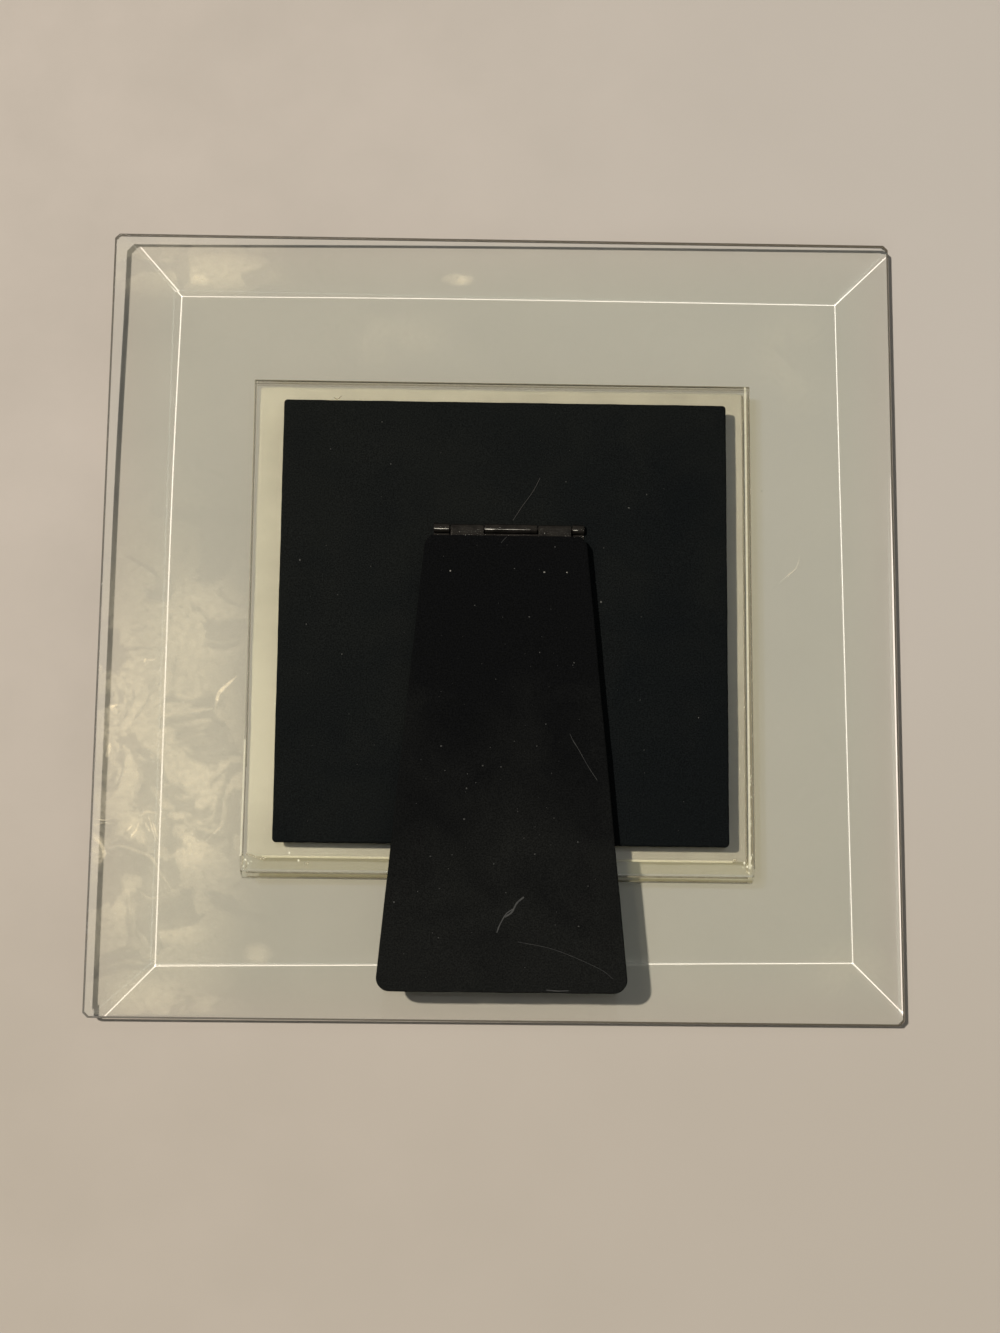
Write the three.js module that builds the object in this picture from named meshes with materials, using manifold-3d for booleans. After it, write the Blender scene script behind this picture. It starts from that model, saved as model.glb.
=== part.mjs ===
// A square bevelled-glass photo frame, lying on its front face with its easel leg folded shut.
// Millimetres. +Z points out of the frame's back and +Y towards its top edge.
// The origin is the centre of the front face, the face that lies on the table.
import * as THREE from "three";
import { ConvexGeometry } from "three/addons/geometries/ConvexGeometry.js";
import { mergeVertices } from "three/addons/utils/BufferGeometryUtils.js";
import Module from "manifold-3d";

const wasm = await Module();
wasm.setup();

// Glass plate, bevelled on the front
const PLATE_SIDE = 203.2;
const PLATE_THICKNESS = 5;
const BEVEL_LEFT = 16; // widths of the hand-ground bevel, seen from the back
const BEVEL_RIGHT = 13;
const BEVEL_TOP = 14.4;
const BEVEL_BOTTOM_LEFT = 12.9; // the bottom bevel widens to the right
const BEVEL_BOTTOM_RIGHT = 15.5;
const EDGE_WALL = 2.4; // upright edge between the bevel and the back face
const CORNER_CUT = 1.2; // length of the cut along each side of a corner

// Slip-in pocket, one acrylic sheet folded in a U along the bottom
const POCKET_WIDTH = 127.5;
const POCKET_HEIGHT = 127.5;
const POCKET_SHEET = 2;
const PHOTO_SLOT = 1.6; // space between the two sheets
const POCKET_SHIFT_X = 0.3; // from the plate's centre, as it was glued on by hand
const POCKET_SHIFT_Y = -3.25;

// Clear adhesive film between the glass and the pocket
const FILM_THICKNESS = 0.25;
const FILM_SIDE_INSET = 1.5;
const FILM_TOP_INSET = 0.6;
const FILM_BOTTOM_INSET = 5.2;

// Velvet-covered backing board, taped on the pocket
const BOARD_SIDE = 113;
const BOARD_CORNER_RADIUS = 0.9;
const BOARD_CORE = 1.6; // greyboard
const BOARD_VELVET = 0.5;
const BOARD_LINER = 0.25; // paper on the side towards the pocket
const BOARD_SHIFT_X = 0.7; // from the pocket's centre
const BOARD_SHIFT_Y = 0.95;

// Foam tape strips under the board
const TAPE_WIDTH = 12;
const TAPE_THICKNESS = 0.8;
const TAPE_SIDE_INSET = 5;
const TAPE_END_INSET = 4;

// Barrel hinge, two rolled steel leaves on a wire pin
const HINGE_FROM_BOARD_TOP = 33.3; // board's top edge to the pin's axis
const HINGE_SHIFT_X = 1.2; // from the board's centre
const HINGE_SHEET = 0.5;
const PIN_DIAMETER = 1.1;
const PIN_CLEARANCE = 0.1;
const KNUCKLE_LENGTHS = [4, 8.3, 13.2, 8.3, 3]; // left to right, by turns on the board and the leg
const KNUCKLE_GAP = 0.3;
const LOOP_LIFT = 0.1; // running clearance between the leg's knuckles and the velvet
const LEAF_REACH = 15; // pin's axis to a leaf's free edge
const LEAF_CLEARANCE = 0.35; // between a leaf's edge and the other leaf's knuckles
const CURL_END = 200; // degrees, where the rolled edge stops short of its own strip

// Easel leg, a covered greyboard tongue
const LEG_START = 2.6; // pin's axis to the leg's top edge
const LEG_END = 116.4; // pin's axis to the leg's free end
const LEG_TOP_WIDTH = 37.9; // top edge, between its two cut corners
const LEG_SHOULDER_WIDTH = 40.8;
const LEG_SHOULDER_DROP = 2.1; // height of a cut corner
const LEG_END_WIDTH = 61.6;
const LEG_END_RADIUS = 3.2;
const LEG_CORE = 2;
const LEG_VELVET = 0.4;
const LEG_LINER = 0.4; // flocked paper on the side towards the board
const LEG_SHIFT_X = -0.8; // from the hinge's middle

// Flat-wire staples through leaf and board
const STAPLE_CROWN = 6.3; // between the middles of its two prongs
const STAPLE_WIRE = 0.6;
const STAPLE_TIP = 1.6; // prong end bent over
const STAPLE_CLEARANCE = 0.3;
const LEG_STAPLE_ROW = 11.9; // pin's axis to the row
const LEG_STAPLE_SPACING = 23.5;
const BOARD_STAPLE_ROW = 6;
const BOARD_STAPLE_SPACING = 12;

const ARC_STEPS = 10; // steps in a quarter turn
const CUT_MARGIN = 5; // how far a cutting block runs past what it cuts
const LAP = 1; // how far a knuckle's strip runs into its leaf before they are joined

// Heights of the stack, from the table up
const FILM_Z = PLATE_THICKNESS;
const POCKET_Z = FILM_Z + FILM_THICKNESS;
const TAPE_Z = POCKET_Z + 2 * POCKET_SHEET + PHOTO_SLOT;
const LINER_Z = TAPE_Z + TAPE_THICKNESS;
const CORE_Z = LINER_Z + BOARD_LINER;
const BOARD_TOP_Z = CORE_Z + BOARD_CORE + BOARD_VELVET;

// Centres in plan
const BOARD_X = POCKET_SHIFT_X + BOARD_SHIFT_X;
const BOARD_Y = POCKET_SHIFT_Y + BOARD_SHIFT_Y;
const HINGE_X = BOARD_X + HINGE_SHIFT_X;
const HINGE_Y = BOARD_Y + BOARD_SIDE / 2 - HINGE_FROM_BOARD_TOP;

// Hinge section, measured from the pin's axis
const BORE_RADIUS = PIN_DIAMETER / 2 + PIN_CLEARANCE;
const BARREL_RADIUS = BORE_RADIUS + HINGE_SHEET;
const LOOP_SHEET = HINGE_SHEET - LOOP_LIFT;
const HINGE_Z = BOARD_TOP_Z + BARREL_RADIUS;
const LEAF_EDGE = BARREL_RADIUS + LEAF_CLEARANCE;
const LEG_UNDERSIDE = BORE_RADIUS + LOOP_SHEET;

// Colours and finishes
const GLASS = { color: 0xb9c6bb, roughness: 0.03, metalness: 0, transparent: true, opacity: 0.35 };
const ACRYLIC = { color: 0xdcd9c0, roughness: 0.08, metalness: 0, transparent: true, opacity: 0.35 };
const FILM = { color: 0xd8cfa0, roughness: 0.3, metalness: 0, transparent: true, opacity: 0.4 };
const TAPE = { color: 0x2a2a2a, roughness: 0.8, metalness: 0 };
const PAPER = { color: 0x1d1c1b, roughness: 0.9, metalness: 0 };
const GREYBOARD = { color: 0x8d8577, roughness: 0.95, metalness: 0 };
const VELVET = { color: 0x161616, roughness: 1, metalness: 0 };
const HINGE_STEEL = { color: 0x5d5851, roughness: 0.35, metalness: 1 };
const BRIGHT_STEEL = { color: 0xb8b5ae, roughness: 0.3, metalness: 1 };

// A closed geometry as a solid that can be cut and joined.
function solidOf(geometry) {
  const bare = geometry.clone();
  bare.deleteAttribute("normal");
  bare.deleteAttribute("uv");
  const merged = mergeVertices(bare);
  return new wasm.Manifold(
    new wasm.Mesh({
      numProp: 3,
      vertProperties: merged.attributes.position.array,
      triVerts: new Uint32Array(merged.index.array),
    }),
  );
}

// The solid back as a geometry.
function geometryOf(solid) {
  const mesh = solid.getMesh();
  const geometry = new THREE.BufferGeometry();
  geometry.setAttribute("position", new THREE.BufferAttribute(mesh.vertProperties, 3));
  geometry.setIndex(new THREE.BufferAttribute(mesh.triVerts, 1));
  geometry.computeVertexNormals();
  return geometry;
}

const joined = (geometries) => geometryOf(wasm.Manifold.union(geometries.map(solidOf)));

const cut = (geometry, tools) =>
  geometryOf(tools.reduce((solid, tool) => solid.subtract(solidOf(tool)), solidOf(geometry)));

// A block from its lowest corner to its highest.
function block([x0, y0, z0], [x1, y1, z1]) {
  return new THREE.BoxGeometry(x1 - x0, y1 - y0, z1 - z0).translate(
    (x0 + x1) / 2,
    (y0 + y1) / 2,
    (z0 + z1) / 2,
  );
}

// A flat shape in XY, made `thickness` thick upwards from height z.
function slab(shape, thickness, z) {
  const settings = { depth: thickness, bevelEnabled: false, curveSegments: ARC_STEPS };
  return new THREE.ExtrudeGeometry(shape, settings).translate(0, 0, z);
}

// A section drawn in Y and Z, carried along X from x0 to x1.
function carriedAlongX(section, x0, x1) {
  const settings = { depth: x1 - x0, bevelEnabled: false, curveSegments: ARC_STEPS };
  const toSection = new THREE.Matrix4().makeBasis(
    new THREE.Vector3(0, 1, 0),
    new THREE.Vector3(0, 0, 1),
    new THREE.Vector3(1, 0, 0),
  );
  return new THREE.ExtrudeGeometry(section, settings).applyMatrix4(toSection).translate(x0, 0, 0);
}

const shapeOf = (points) => new THREE.Shape(points.map(([x, y]) => new THREE.Vector2(x, y)));

// A convex outline, counter-clockwise, with every side moved inwards by `inset`.
function insetOutline(points, inset) {
  const count = points.length;
  const lines = points.map(([x, y], i) => {
    const [nextX, nextY] = points[(i + 1) % count];
    const length = Math.hypot(nextX - x, nextY - y);
    const normal = [-(nextY - y) / length, (nextX - x) / length];
    return { normal, offset: normal[0] * x + normal[1] * y + inset };
  });
  return lines.map((line, i) => {
    const before = lines[(i + count - 1) % count];
    const [a, b] = before.normal;
    const [c, d] = line.normal;
    const det = a * d - b * c;
    return [(before.offset * d - line.offset * b) / det, (line.offset * a - before.offset * c) / det];
  });
}

// The outline as a shape, each corner rounded by its own radius; 0 leaves it sharp.
function roundedShape(points, radii) {
  const count = points.length;
  const shape = new THREE.Shape();
  points.forEach(([x, y], i) => {
    const corner = new THREE.Vector2(x, y);
    const before = new THREE.Vector2(...points[(i + count - 1) % count]);
    const after = new THREE.Vector2(...points[(i + 1) % count]);
    const back = before.sub(corner).normalize();
    const on = after.sub(corner).normalize();
    const half = Math.acos(back.dot(on)) / 2;
    const radius = radii[i];
    if (radius <= 0) {
      if (i === 0) shape.moveTo(x, y);
      else shape.lineTo(x, y);
      return;
    }
    const middle = back.clone().add(on).setLength(radius / Math.sin(half)).add(corner);
    const start = back.multiplyScalar(radius / Math.tan(half)).add(corner).sub(middle);
    const stop = on.multiplyScalar(radius / Math.tan(half)).add(corner).sub(middle);
    shape.absarc(middle.x, middle.y, radius, start.angle(), stop.angle(), false);
  });
  return shape;
}

function mesh(name, geometry, finish) {
  const made = new THREE.Mesh(geometry, new THREE.MeshStandardMaterial(finish));
  made.name = name;
  return made;
}

// The plate: a square block whose front edges slope back, with its four corners cut off.
function glassPlate() {
  const half = PLATE_SIDE / 2;
  const rim = (z) => [
    new THREE.Vector3(half, half, z),
    new THREE.Vector3(-half, half, z),
    new THREE.Vector3(-half, -half, z),
    new THREE.Vector3(half, -half, z),
  ];
  const ridges = [
    new THREE.Vector3(half - BEVEL_RIGHT, half - BEVEL_TOP, 0),
    new THREE.Vector3(BEVEL_LEFT - half, half - BEVEL_TOP, 0),
    new THREE.Vector3(BEVEL_LEFT - half, BEVEL_BOTTOM_LEFT - half, 0),
    new THREE.Vector3(half - BEVEL_RIGHT, BEVEL_BOTTOM_RIGHT - half, 0),
  ];
  const bevelled = new ConvexGeometry([
    ...ridges,
    ...rim(PLATE_THICKNESS - EDGE_WALL),
    ...rim(PLATE_THICKNESS),
  ]);
  const near = half - CORNER_CUT;
  const outline = [
    [near, -half],
    [half, -near],
    [half, near],
    [near, half],
    [-near, half],
    [-half, near],
    [-half, -near],
    [-near, -half],
  ];
  const keep = slab(shapeOf(outline), PLATE_THICKNESS + 2 * CUT_MARGIN, -CUT_MARGIN);
  return geometryOf(solidOf(bevelled).intersect(solidOf(keep)));
}

// The adhesive film, an even margin inside the pocket's sheet.
function pocketFilm() {
  const halfWidth = POCKET_WIDTH / 2 - FILM_SIDE_INSET;
  const bottom = POCKET_SHIFT_Y - POCKET_HEIGHT / 2 + FILM_BOTTOM_INSET;
  const top = POCKET_SHIFT_Y + POCKET_HEIGHT / 2 - FILM_TOP_INSET;
  return block([POCKET_SHIFT_X - halfWidth, bottom, FILM_Z], [POCKET_SHIFT_X + halfWidth, top, POCKET_Z]);
}

// The pocket: front sheet, half-round fold along the bottom, back sheet, open at top and sides.
function acrylicPocket() {
  const outer = POCKET_SHEET + PHOTO_SLOT / 2;
  const inner = PHOTO_SLOT / 2;
  const top = POCKET_SHIFT_Y + POCKET_HEIGHT / 2;
  const foldY = POCKET_SHIFT_Y - POCKET_HEIGHT / 2 + outer;
  const foldZ = POCKET_Z + outer;
  const section = new THREE.Shape();
  section.moveTo(top, foldZ - inner);
  section.lineTo(foldY, foldZ - inner);
  section.absarc(foldY, foldZ, inner, -Math.PI / 2, Math.PI / 2, true);
  section.lineTo(top, foldZ + inner);
  section.lineTo(top, foldZ + outer);
  section.absarc(foldY, foldZ, outer, Math.PI / 2, -Math.PI / 2, false);
  section.lineTo(top, foldZ - outer);
  return carriedAlongX(section, POCKET_SHIFT_X - POCKET_WIDTH / 2, POCKET_SHIFT_X + POCKET_WIDTH / 2);
}

// One strip of foam tape; side is -1 for the left strip and 1 for the right.
function tapeStrip(side) {
  const outer = BOARD_SIDE / 2 - TAPE_SIDE_INSET;
  const x = BOARD_X + side * (outer - TAPE_WIDTH / 2);
  const reach = BOARD_SIDE / 2 - TAPE_END_INSET;
  return block(
    [x - TAPE_WIDTH / 2, BOARD_Y - reach, TAPE_Z],
    [x + TAPE_WIDTH / 2, BOARD_Y + reach, LINER_Z],
  );
}

// The board's outline, moved inwards by inset, as a layer of its own.
function boardLayer(inset, thickness, z) {
  const half = BOARD_SIDE / 2;
  const square = [
    [BOARD_X + half, BOARD_Y - half],
    [BOARD_X + half, BOARD_Y + half],
    [BOARD_X - half, BOARD_Y + half],
    [BOARD_X - half, BOARD_Y - half],
  ];
  const radii = square.map(() => BOARD_CORNER_RADIUS - inset);
  return slab(roundedShape(insetOutline(square, inset), radii), thickness, z);
}

// The velvet: a sheet over the board's back, turned down over its four edges.
function boardVelvet() {
  const whole = boardLayer(0, BOARD_TOP_Z - LINER_Z, LINER_Z);
  const inside = boardLayer(BOARD_VELVET, CORE_Z + BOARD_CORE - LINER_Z + CUT_MARGIN, LINER_Z - CUT_MARGIN);
  return cut(whole, [inside, ...boardStapleHoles()]);
}

function boardCore() {
  return cut(boardLayer(BOARD_VELVET, BOARD_CORE, CORE_Z), boardStapleHoles());
}

function boardLiner() {
  return cut(boardLayer(BOARD_VELVET, BOARD_LINER, LINER_Z), boardStapleHoles());
}

// Where each knuckle starts and ends along X, from the left, and whether the leg carries it.
function knuckles() {
  const gaps = KNUCKLE_GAP * (KNUCKLE_LENGTHS.length - 1);
  const whole = KNUCKLE_LENGTHS.reduce((sum, length) => sum + length, gaps);
  let x = -whole / 2;
  return KNUCKLE_LENGTHS.map((length, i) => {
    const start = x;
    x += length + KNUCKLE_GAP;
    return { start, end: start + length, onLeg: i % 2 === 1 };
  });
}

// A knuckle's section about the pin's axis: a strip of sheet, under the axis for side -1 and
// over it for 1, whose edge is rolled once round the bore.
function knuckleSection(side, sheet) {
  const outer = BORE_RADIUS + sheet;
  const turn = THREE.MathUtils.degToRad(CURL_END + 90);
  const steps = Math.ceil((turn / (Math.PI / 2)) * ARC_STEPS);
  const arc = (radius) =>
    Array.from({ length: steps + 1 }, (_, i) => {
      const angle = -Math.PI / 2 + (turn * i) / steps;
      return [radius * Math.cos(angle), -side * radius * Math.sin(angle)];
    });
  const strip = -(LEAF_EDGE + LAP);
  return shapeOf([
    [strip, side * outer],
    ...arc(outer),
    ...arc(BORE_RADIUS).reverse(),
    [strip, side * BORE_RADIUS],
  ]);
}

// A leaf about the pin's axis: its knuckles and the flat plate that they are rolled from.
function hingeLeaf(side, sheet, own, staples) {
  const section = knuckleSection(side, sheet);
  const rolls = own.map(({ start, end }) => carriedAlongX(section, start, end));
  const heights = [side * BORE_RADIUS, side * (BORE_RADIUS + sheet)].sort((a, b) => a - b);
  const plate = block(
    [own[0].start, -LEAF_REACH, heights[0]],
    [own[own.length - 1].end, -LEAF_EDGE, heights[1]],
  );
  return cut(joined([plate, ...rolls]), staples);
}

// Prong positions of a row of two staples about the pin's axis.
function staplePlaces(spacing, row) {
  return [-spacing / 2, spacing / 2].map((x) => [x, -row]);
}

const LEG_STAPLES = staplePlaces(LEG_STAPLE_SPACING, LEG_STAPLE_ROW);
const BOARD_STAPLES = staplePlaces(BOARD_STAPLE_SPACING, BOARD_STAPLE_ROW);

// Square holes for both prongs of each staple, right through the stack of layers.
function stapleHoles(places) {
  const reach = STAPLE_WIRE / 2 + STAPLE_CLEARANCE;
  const depth = BOARD_TOP_Z + LEG_CORE + CUT_MARGIN;
  return places.flatMap(([x, y]) =>
    [-STAPLE_CROWN / 2, STAPLE_CROWN / 2].map((prong) =>
      block([x + prong - reach, y - reach, -depth], [x + prong + reach, y + reach, depth]),
    ),
  );
}

function boardStapleHoles() {
  return stapleHoles(BOARD_STAPLES).map((hole) => hole.translate(HINGE_X, HINGE_Y, HINGE_Z));
}

// A staple at its place about the pin's axis. Its crown lies on the leaf's inner face at height
// z, its prongs run `depth` upwards (up = 1) or downwards (up = -1), and their ends are bent in.
function staple([x, y], z, depth, up) {
  const half = STAPLE_WIRE / 2;
  const reach = STAPLE_CROWN / 2 + half;
  const bar = (x0, x1, from, to) => {
    const ends = [z + up * from, z + up * to].sort((a, b) => a - b);
    return block([x + x0, y - half, ends[0]], [x + x1, y + half, ends[1]]);
  };
  return joined([
    bar(-reach, reach, -STAPLE_WIRE, 0),
    bar(-reach, -reach + STAPLE_WIRE, -STAPLE_WIRE, depth + STAPLE_WIRE),
    bar(reach - STAPLE_WIRE, reach, -STAPLE_WIRE, depth + STAPLE_WIRE),
    bar(-reach, -reach + STAPLE_TIP, depth, depth + STAPLE_WIRE),
    bar(reach - STAPLE_TIP, reach, depth, depth + STAPLE_WIRE),
  ]);
}

function hingePin(all) {
  const length = all[all.length - 1].end - all[0].start;
  const pin = new THREE.CylinderGeometry(PIN_DIAMETER / 2, PIN_DIAMETER / 2, length, 2 * ARC_STEPS);
  return pin.rotateZ(Math.PI / 2).translate((all[0].start + all[all.length - 1].end) / 2, 0, 0);
}

// The leg's outline about the pin's axis, moved inwards by inset, as a layer of its own.
function legLayer(inset, thickness, z) {
  const at = (x, y) => [LEG_SHIFT_X + x, -y];
  const outline = [
    at(-LEG_END_WIDTH / 2, LEG_END),
    at(LEG_END_WIDTH / 2, LEG_END),
    at(LEG_SHOULDER_WIDTH / 2, LEG_START + LEG_SHOULDER_DROP),
    at(LEG_TOP_WIDTH / 2, LEG_START),
    at(-LEG_TOP_WIDTH / 2, LEG_START),
    at(-LEG_SHOULDER_WIDTH / 2, LEG_START + LEG_SHOULDER_DROP),
  ];
  const radii = outline.map((_, i) => (i < 2 ? LEG_END_RADIUS - inset : 0));
  return slab(roundedShape(insetOutline(outline, inset), radii), thickness, z);
}

// The velvet over the leg's outer face, turned over its edges down to the liner's face.
function legVelvet() {
  const coreTop = LEG_UNDERSIDE + LEG_LINER + LEG_CORE;
  const whole = legLayer(0, coreTop + LEG_VELVET - LEG_UNDERSIDE, LEG_UNDERSIDE);
  const inside = legLayer(LEG_VELVET, coreTop - LEG_UNDERSIDE + CUT_MARGIN, LEG_UNDERSIDE - CUT_MARGIN);
  return cut(whole, [inside, ...stapleHoles(LEG_STAPLES)]);
}

function legCore() {
  return cut(legLayer(LEG_VELVET, LEG_CORE, LEG_UNDERSIDE + LEG_LINER), stapleHoles(LEG_STAPLES));
}

function legLiner() {
  return cut(legLayer(LEG_VELVET, LEG_LINER, LEG_UNDERSIDE), stapleHoles(LEG_STAPLES));
}

// The fixed half of the hinge with its pin and staples.
function boardHinge(all) {
  const own = all.filter((knuckle) => !knuckle.onLeg);
  const leaf = hingeLeaf(-1, HINGE_SHEET, own, stapleHoles(BOARD_STAPLES));
  const depth = HINGE_SHEET + BOARD_VELVET + BOARD_CORE + BOARD_LINER;
  const [left, right] = BOARD_STAPLES.map((place) => staple(place, -BORE_RADIUS, depth, -1));
  const group = new THREE.Group();
  group.add(
    mesh("board_hinge_leaf", leaf, HINGE_STEEL),
    mesh("board_staple_left", left, BRIGHT_STEEL),
    mesh("board_staple_right", right, BRIGHT_STEEL),
    mesh("hinge_pin", hingePin(all), HINGE_STEEL),
  );
  return group;
}

// The swinging leg with its own half of the hinge.
function easelLeg(all) {
  const own = all.filter((knuckle) => knuckle.onLeg);
  const leaf = hingeLeaf(1, LOOP_SHEET, own, stapleHoles(LEG_STAPLES));
  const depth = LOOP_SHEET + LEG_LINER + LEG_CORE + LEG_VELVET;
  const [left, right] = LEG_STAPLES.map((place) => staple(place, BORE_RADIUS, depth, 1));
  const group = new THREE.Group();
  group.add(
    mesh("leg_hinge_leaf", leaf, HINGE_STEEL),
    mesh("leg_staple_left", left, BRIGHT_STEEL),
    mesh("leg_staple_right", right, BRIGHT_STEEL),
    mesh("leg_liner", legLiner(), VELVET),
    mesh("leg_core", legCore(), GREYBOARD),
    mesh("leg_velvet", legVelvet(), VELVET),
  );
  return group;
}

function photoFrame() {
  const all = knuckles();
  const frame = new THREE.Group();
  frame.add(
    mesh("glass_plate", glassPlate(), GLASS),
    mesh("pocket_film", pocketFilm(), FILM),
    mesh("acrylic_pocket", acrylicPocket(), ACRYLIC),
    mesh("board_tape_left", tapeStrip(-1), TAPE),
    mesh("board_tape_right", tapeStrip(1), TAPE),
    mesh("board_liner", boardLiner(), PAPER),
    mesh("board_core", boardCore(), GREYBOARD),
    mesh("board_velvet", boardVelvet(), VELVET),
  );
  const hinge = boardHinge(all);
  const leg = easelLeg(all);
  hinge.position.set(HINGE_X, HINGE_Y, HINGE_Z);
  leg.position.copy(hinge.position);
  frame.add(hinge, leg);
  return frame;
}

export default photoFrame();
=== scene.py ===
"""The looks of a bevelled-glass photo frame with an easel leg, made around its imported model.

Lengths are metres. +Z points out of the frame's back, +Y towards its top edge, and the glass plate's
front face lies on the table at z = 0.
"""

import math

import bmesh
import bpy
import numpy as np
from bpy.props import FloatProperty, FloatVectorProperty, PointerProperty
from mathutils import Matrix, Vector


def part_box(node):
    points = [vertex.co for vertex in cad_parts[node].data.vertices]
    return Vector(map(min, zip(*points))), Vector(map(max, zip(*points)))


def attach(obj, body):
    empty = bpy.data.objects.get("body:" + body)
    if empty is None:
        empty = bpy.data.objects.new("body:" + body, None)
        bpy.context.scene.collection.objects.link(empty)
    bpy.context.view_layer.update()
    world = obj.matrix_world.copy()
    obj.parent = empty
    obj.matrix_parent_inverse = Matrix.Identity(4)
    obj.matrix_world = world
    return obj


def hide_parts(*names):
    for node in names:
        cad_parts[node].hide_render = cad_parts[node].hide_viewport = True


bl_info = {
    "name": "Bevelled Glass Photo Frame",
    "version": (1, 0, 0),
    "blender": (4, 5, 0),
    "location": "View3D > Sidebar > Photo Frame",
    "description": "Finishes a glass photo frame with its clear pocket, velvet board, hinge and easel leg",
    "category": "Object",
}

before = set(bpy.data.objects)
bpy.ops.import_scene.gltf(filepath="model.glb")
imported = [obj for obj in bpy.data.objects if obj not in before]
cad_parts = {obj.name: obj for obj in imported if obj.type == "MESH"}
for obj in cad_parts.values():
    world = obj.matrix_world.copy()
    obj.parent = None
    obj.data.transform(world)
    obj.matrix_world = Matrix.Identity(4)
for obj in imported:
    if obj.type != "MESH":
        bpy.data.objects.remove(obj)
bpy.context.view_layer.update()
MM = 0.001

# Colour and node helpers

# Sockets of the Mix node when it mixes colours
MIX_FACTOR, MIX_A, MIX_B = 0, 6, 7
ALL_LIGHT = (1, 1, 1, 1)


def linear(code):
    """A colour written as sRGB hex, such as "c8baac", as the linear colour that shaders take."""
    channels = [int(code[i : i + 2], 16) / 255 for i in (0, 2, 4)]
    straight = [c / 12.92 if c <= 0.04045 else ((c + 0.055) / 1.055) ** 2.4 for c in channels]
    return (*straight, 1.0)


def add(tree, kind, inputs=(), **settings):
    """Adds one shader node with its settings. Its inputs are named, or listed in the order of its
    sockets, which for Map Range are the value, its range's two ends and the two ends that it gets.
    An input is a plain value, or the socket or node that feeds it, a node from its first output in use.
    """
    node = tree.nodes.new(f"ShaderNode{kind}")
    for name, value in settings.items():
        setattr(node, name, value)
    for key, value in inputs.items() if isinstance(inputs, dict) else enumerate(inputs):
        if isinstance(value, bpy.types.Node):
            value = next(socket for socket in value.outputs if socket.enabled)
        if isinstance(value, bpy.types.NodeSocket):
            tree.links.new(value, node.inputs[key])
        else:
            node.inputs[key].default_value = value
    return node


def started(name):
    """A new material and its node tree, still empty."""
    material = bpy.data.materials.new(name)
    material.use_nodes = True
    material.node_tree.nodes.clear()
    return material, material.node_tree


def finished(material, inputs, lamps=None, volume=None):
    """Ends a material with its shader and, for a clear solid, its volume. `lamps` is the share of
    the lamps' light that goes straight past its surface, if any does."""
    tree = material.node_tree
    surface = add(tree, "BsdfPrincipled", inputs)
    if lamps is not None:
        opening = add(tree, "BsdfTransparent", {"Color": lamps})
        surface = add(tree, "MixShader", [add(tree, "LightPath").outputs["Is Shadow Ray"], surface, opening])
    output = add(tree, "OutputMaterial", {"Surface": surface})
    if volume:
        tree.links.new(volume.outputs["Volume"], output.inputs["Volume"])
    return material


def grained(name, dark, light, grain, surface, bump=0.0, lamps=None):
    """A finish that wanders between two colours over grains of one size, with an optional relief.
    `surface` holds plain values for the shader's own sockets."""
    material, tree = started(name)
    place = add(tree, "TexCoord").outputs["Object"]
    noise = add(tree, "TexNoise", {"Vector": place, "Scale": 1 / grain, "Detail": 5.0, "Roughness": 0.6})
    share = add(tree, "MapRange", [noise, 0.32, 0.68])
    shade = add(tree, "Mix", {MIX_FACTOR: share, MIX_A: dark, MIX_B: light}, data_type="RGBA")
    inputs = {"Base Color": shade, **surface}
    if bump:
        inputs["Normal"] = add(tree, "Bump", {"Height": noise, "Strength": 0.5, "Distance": bump})
    return finished(material, inputs, lamps)


def clear_solid(name, ior, take, density, lamp_pass):
    """A clear solid. It bends and reflects what is seen through it and takes a little of each
    colour over its thickness, and lamps shine through it by the share `lamp_pass` at each face."""
    material, tree = started(name)
    inputs = {"Base Color": ALL_LIGHT, "Roughness": 0.0, "IOR": ior, "Transmission Weight": 1.0}
    volume = add(tree, "VolumeAbsorption", {"Color": take, "Density": density})
    return finished(material, inputs, lamp_pass, volume)


def dress(node, material):
    """Gives a plain node, which keeps its own solid, its material."""
    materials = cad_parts[node].data.materials
    materials.clear()
    materials.append(material)


def number(name, description, default, low=0.0, high=1.0, **kind):
    """A number that the user can change: a share of one, if `kind` names no other."""
    kind = kind or {"subtype": "FACTOR"}
    return FloatProperty(name=name, description=description, default=default, min=low, max=high, **kind)


def length(name, description, millimetres, low=0.0, high=300.0):
    """A length that the user can change, shown in the scene's units."""
    sizes = (size * MM for size in (millimetres, low, high))
    return number(name, description, *sizes, unit="LENGTH", precision=5)


def colour(name, description, code):
    """A colour that the user can change, from its sRGB hex value."""
    span = {"size": 4, "min": 0.0, "max": 1.0, "subtype": "COLOR"}
    return FloatVectorProperty(name=name, description=description, default=linear(code), **span)


# Surfaces


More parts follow.
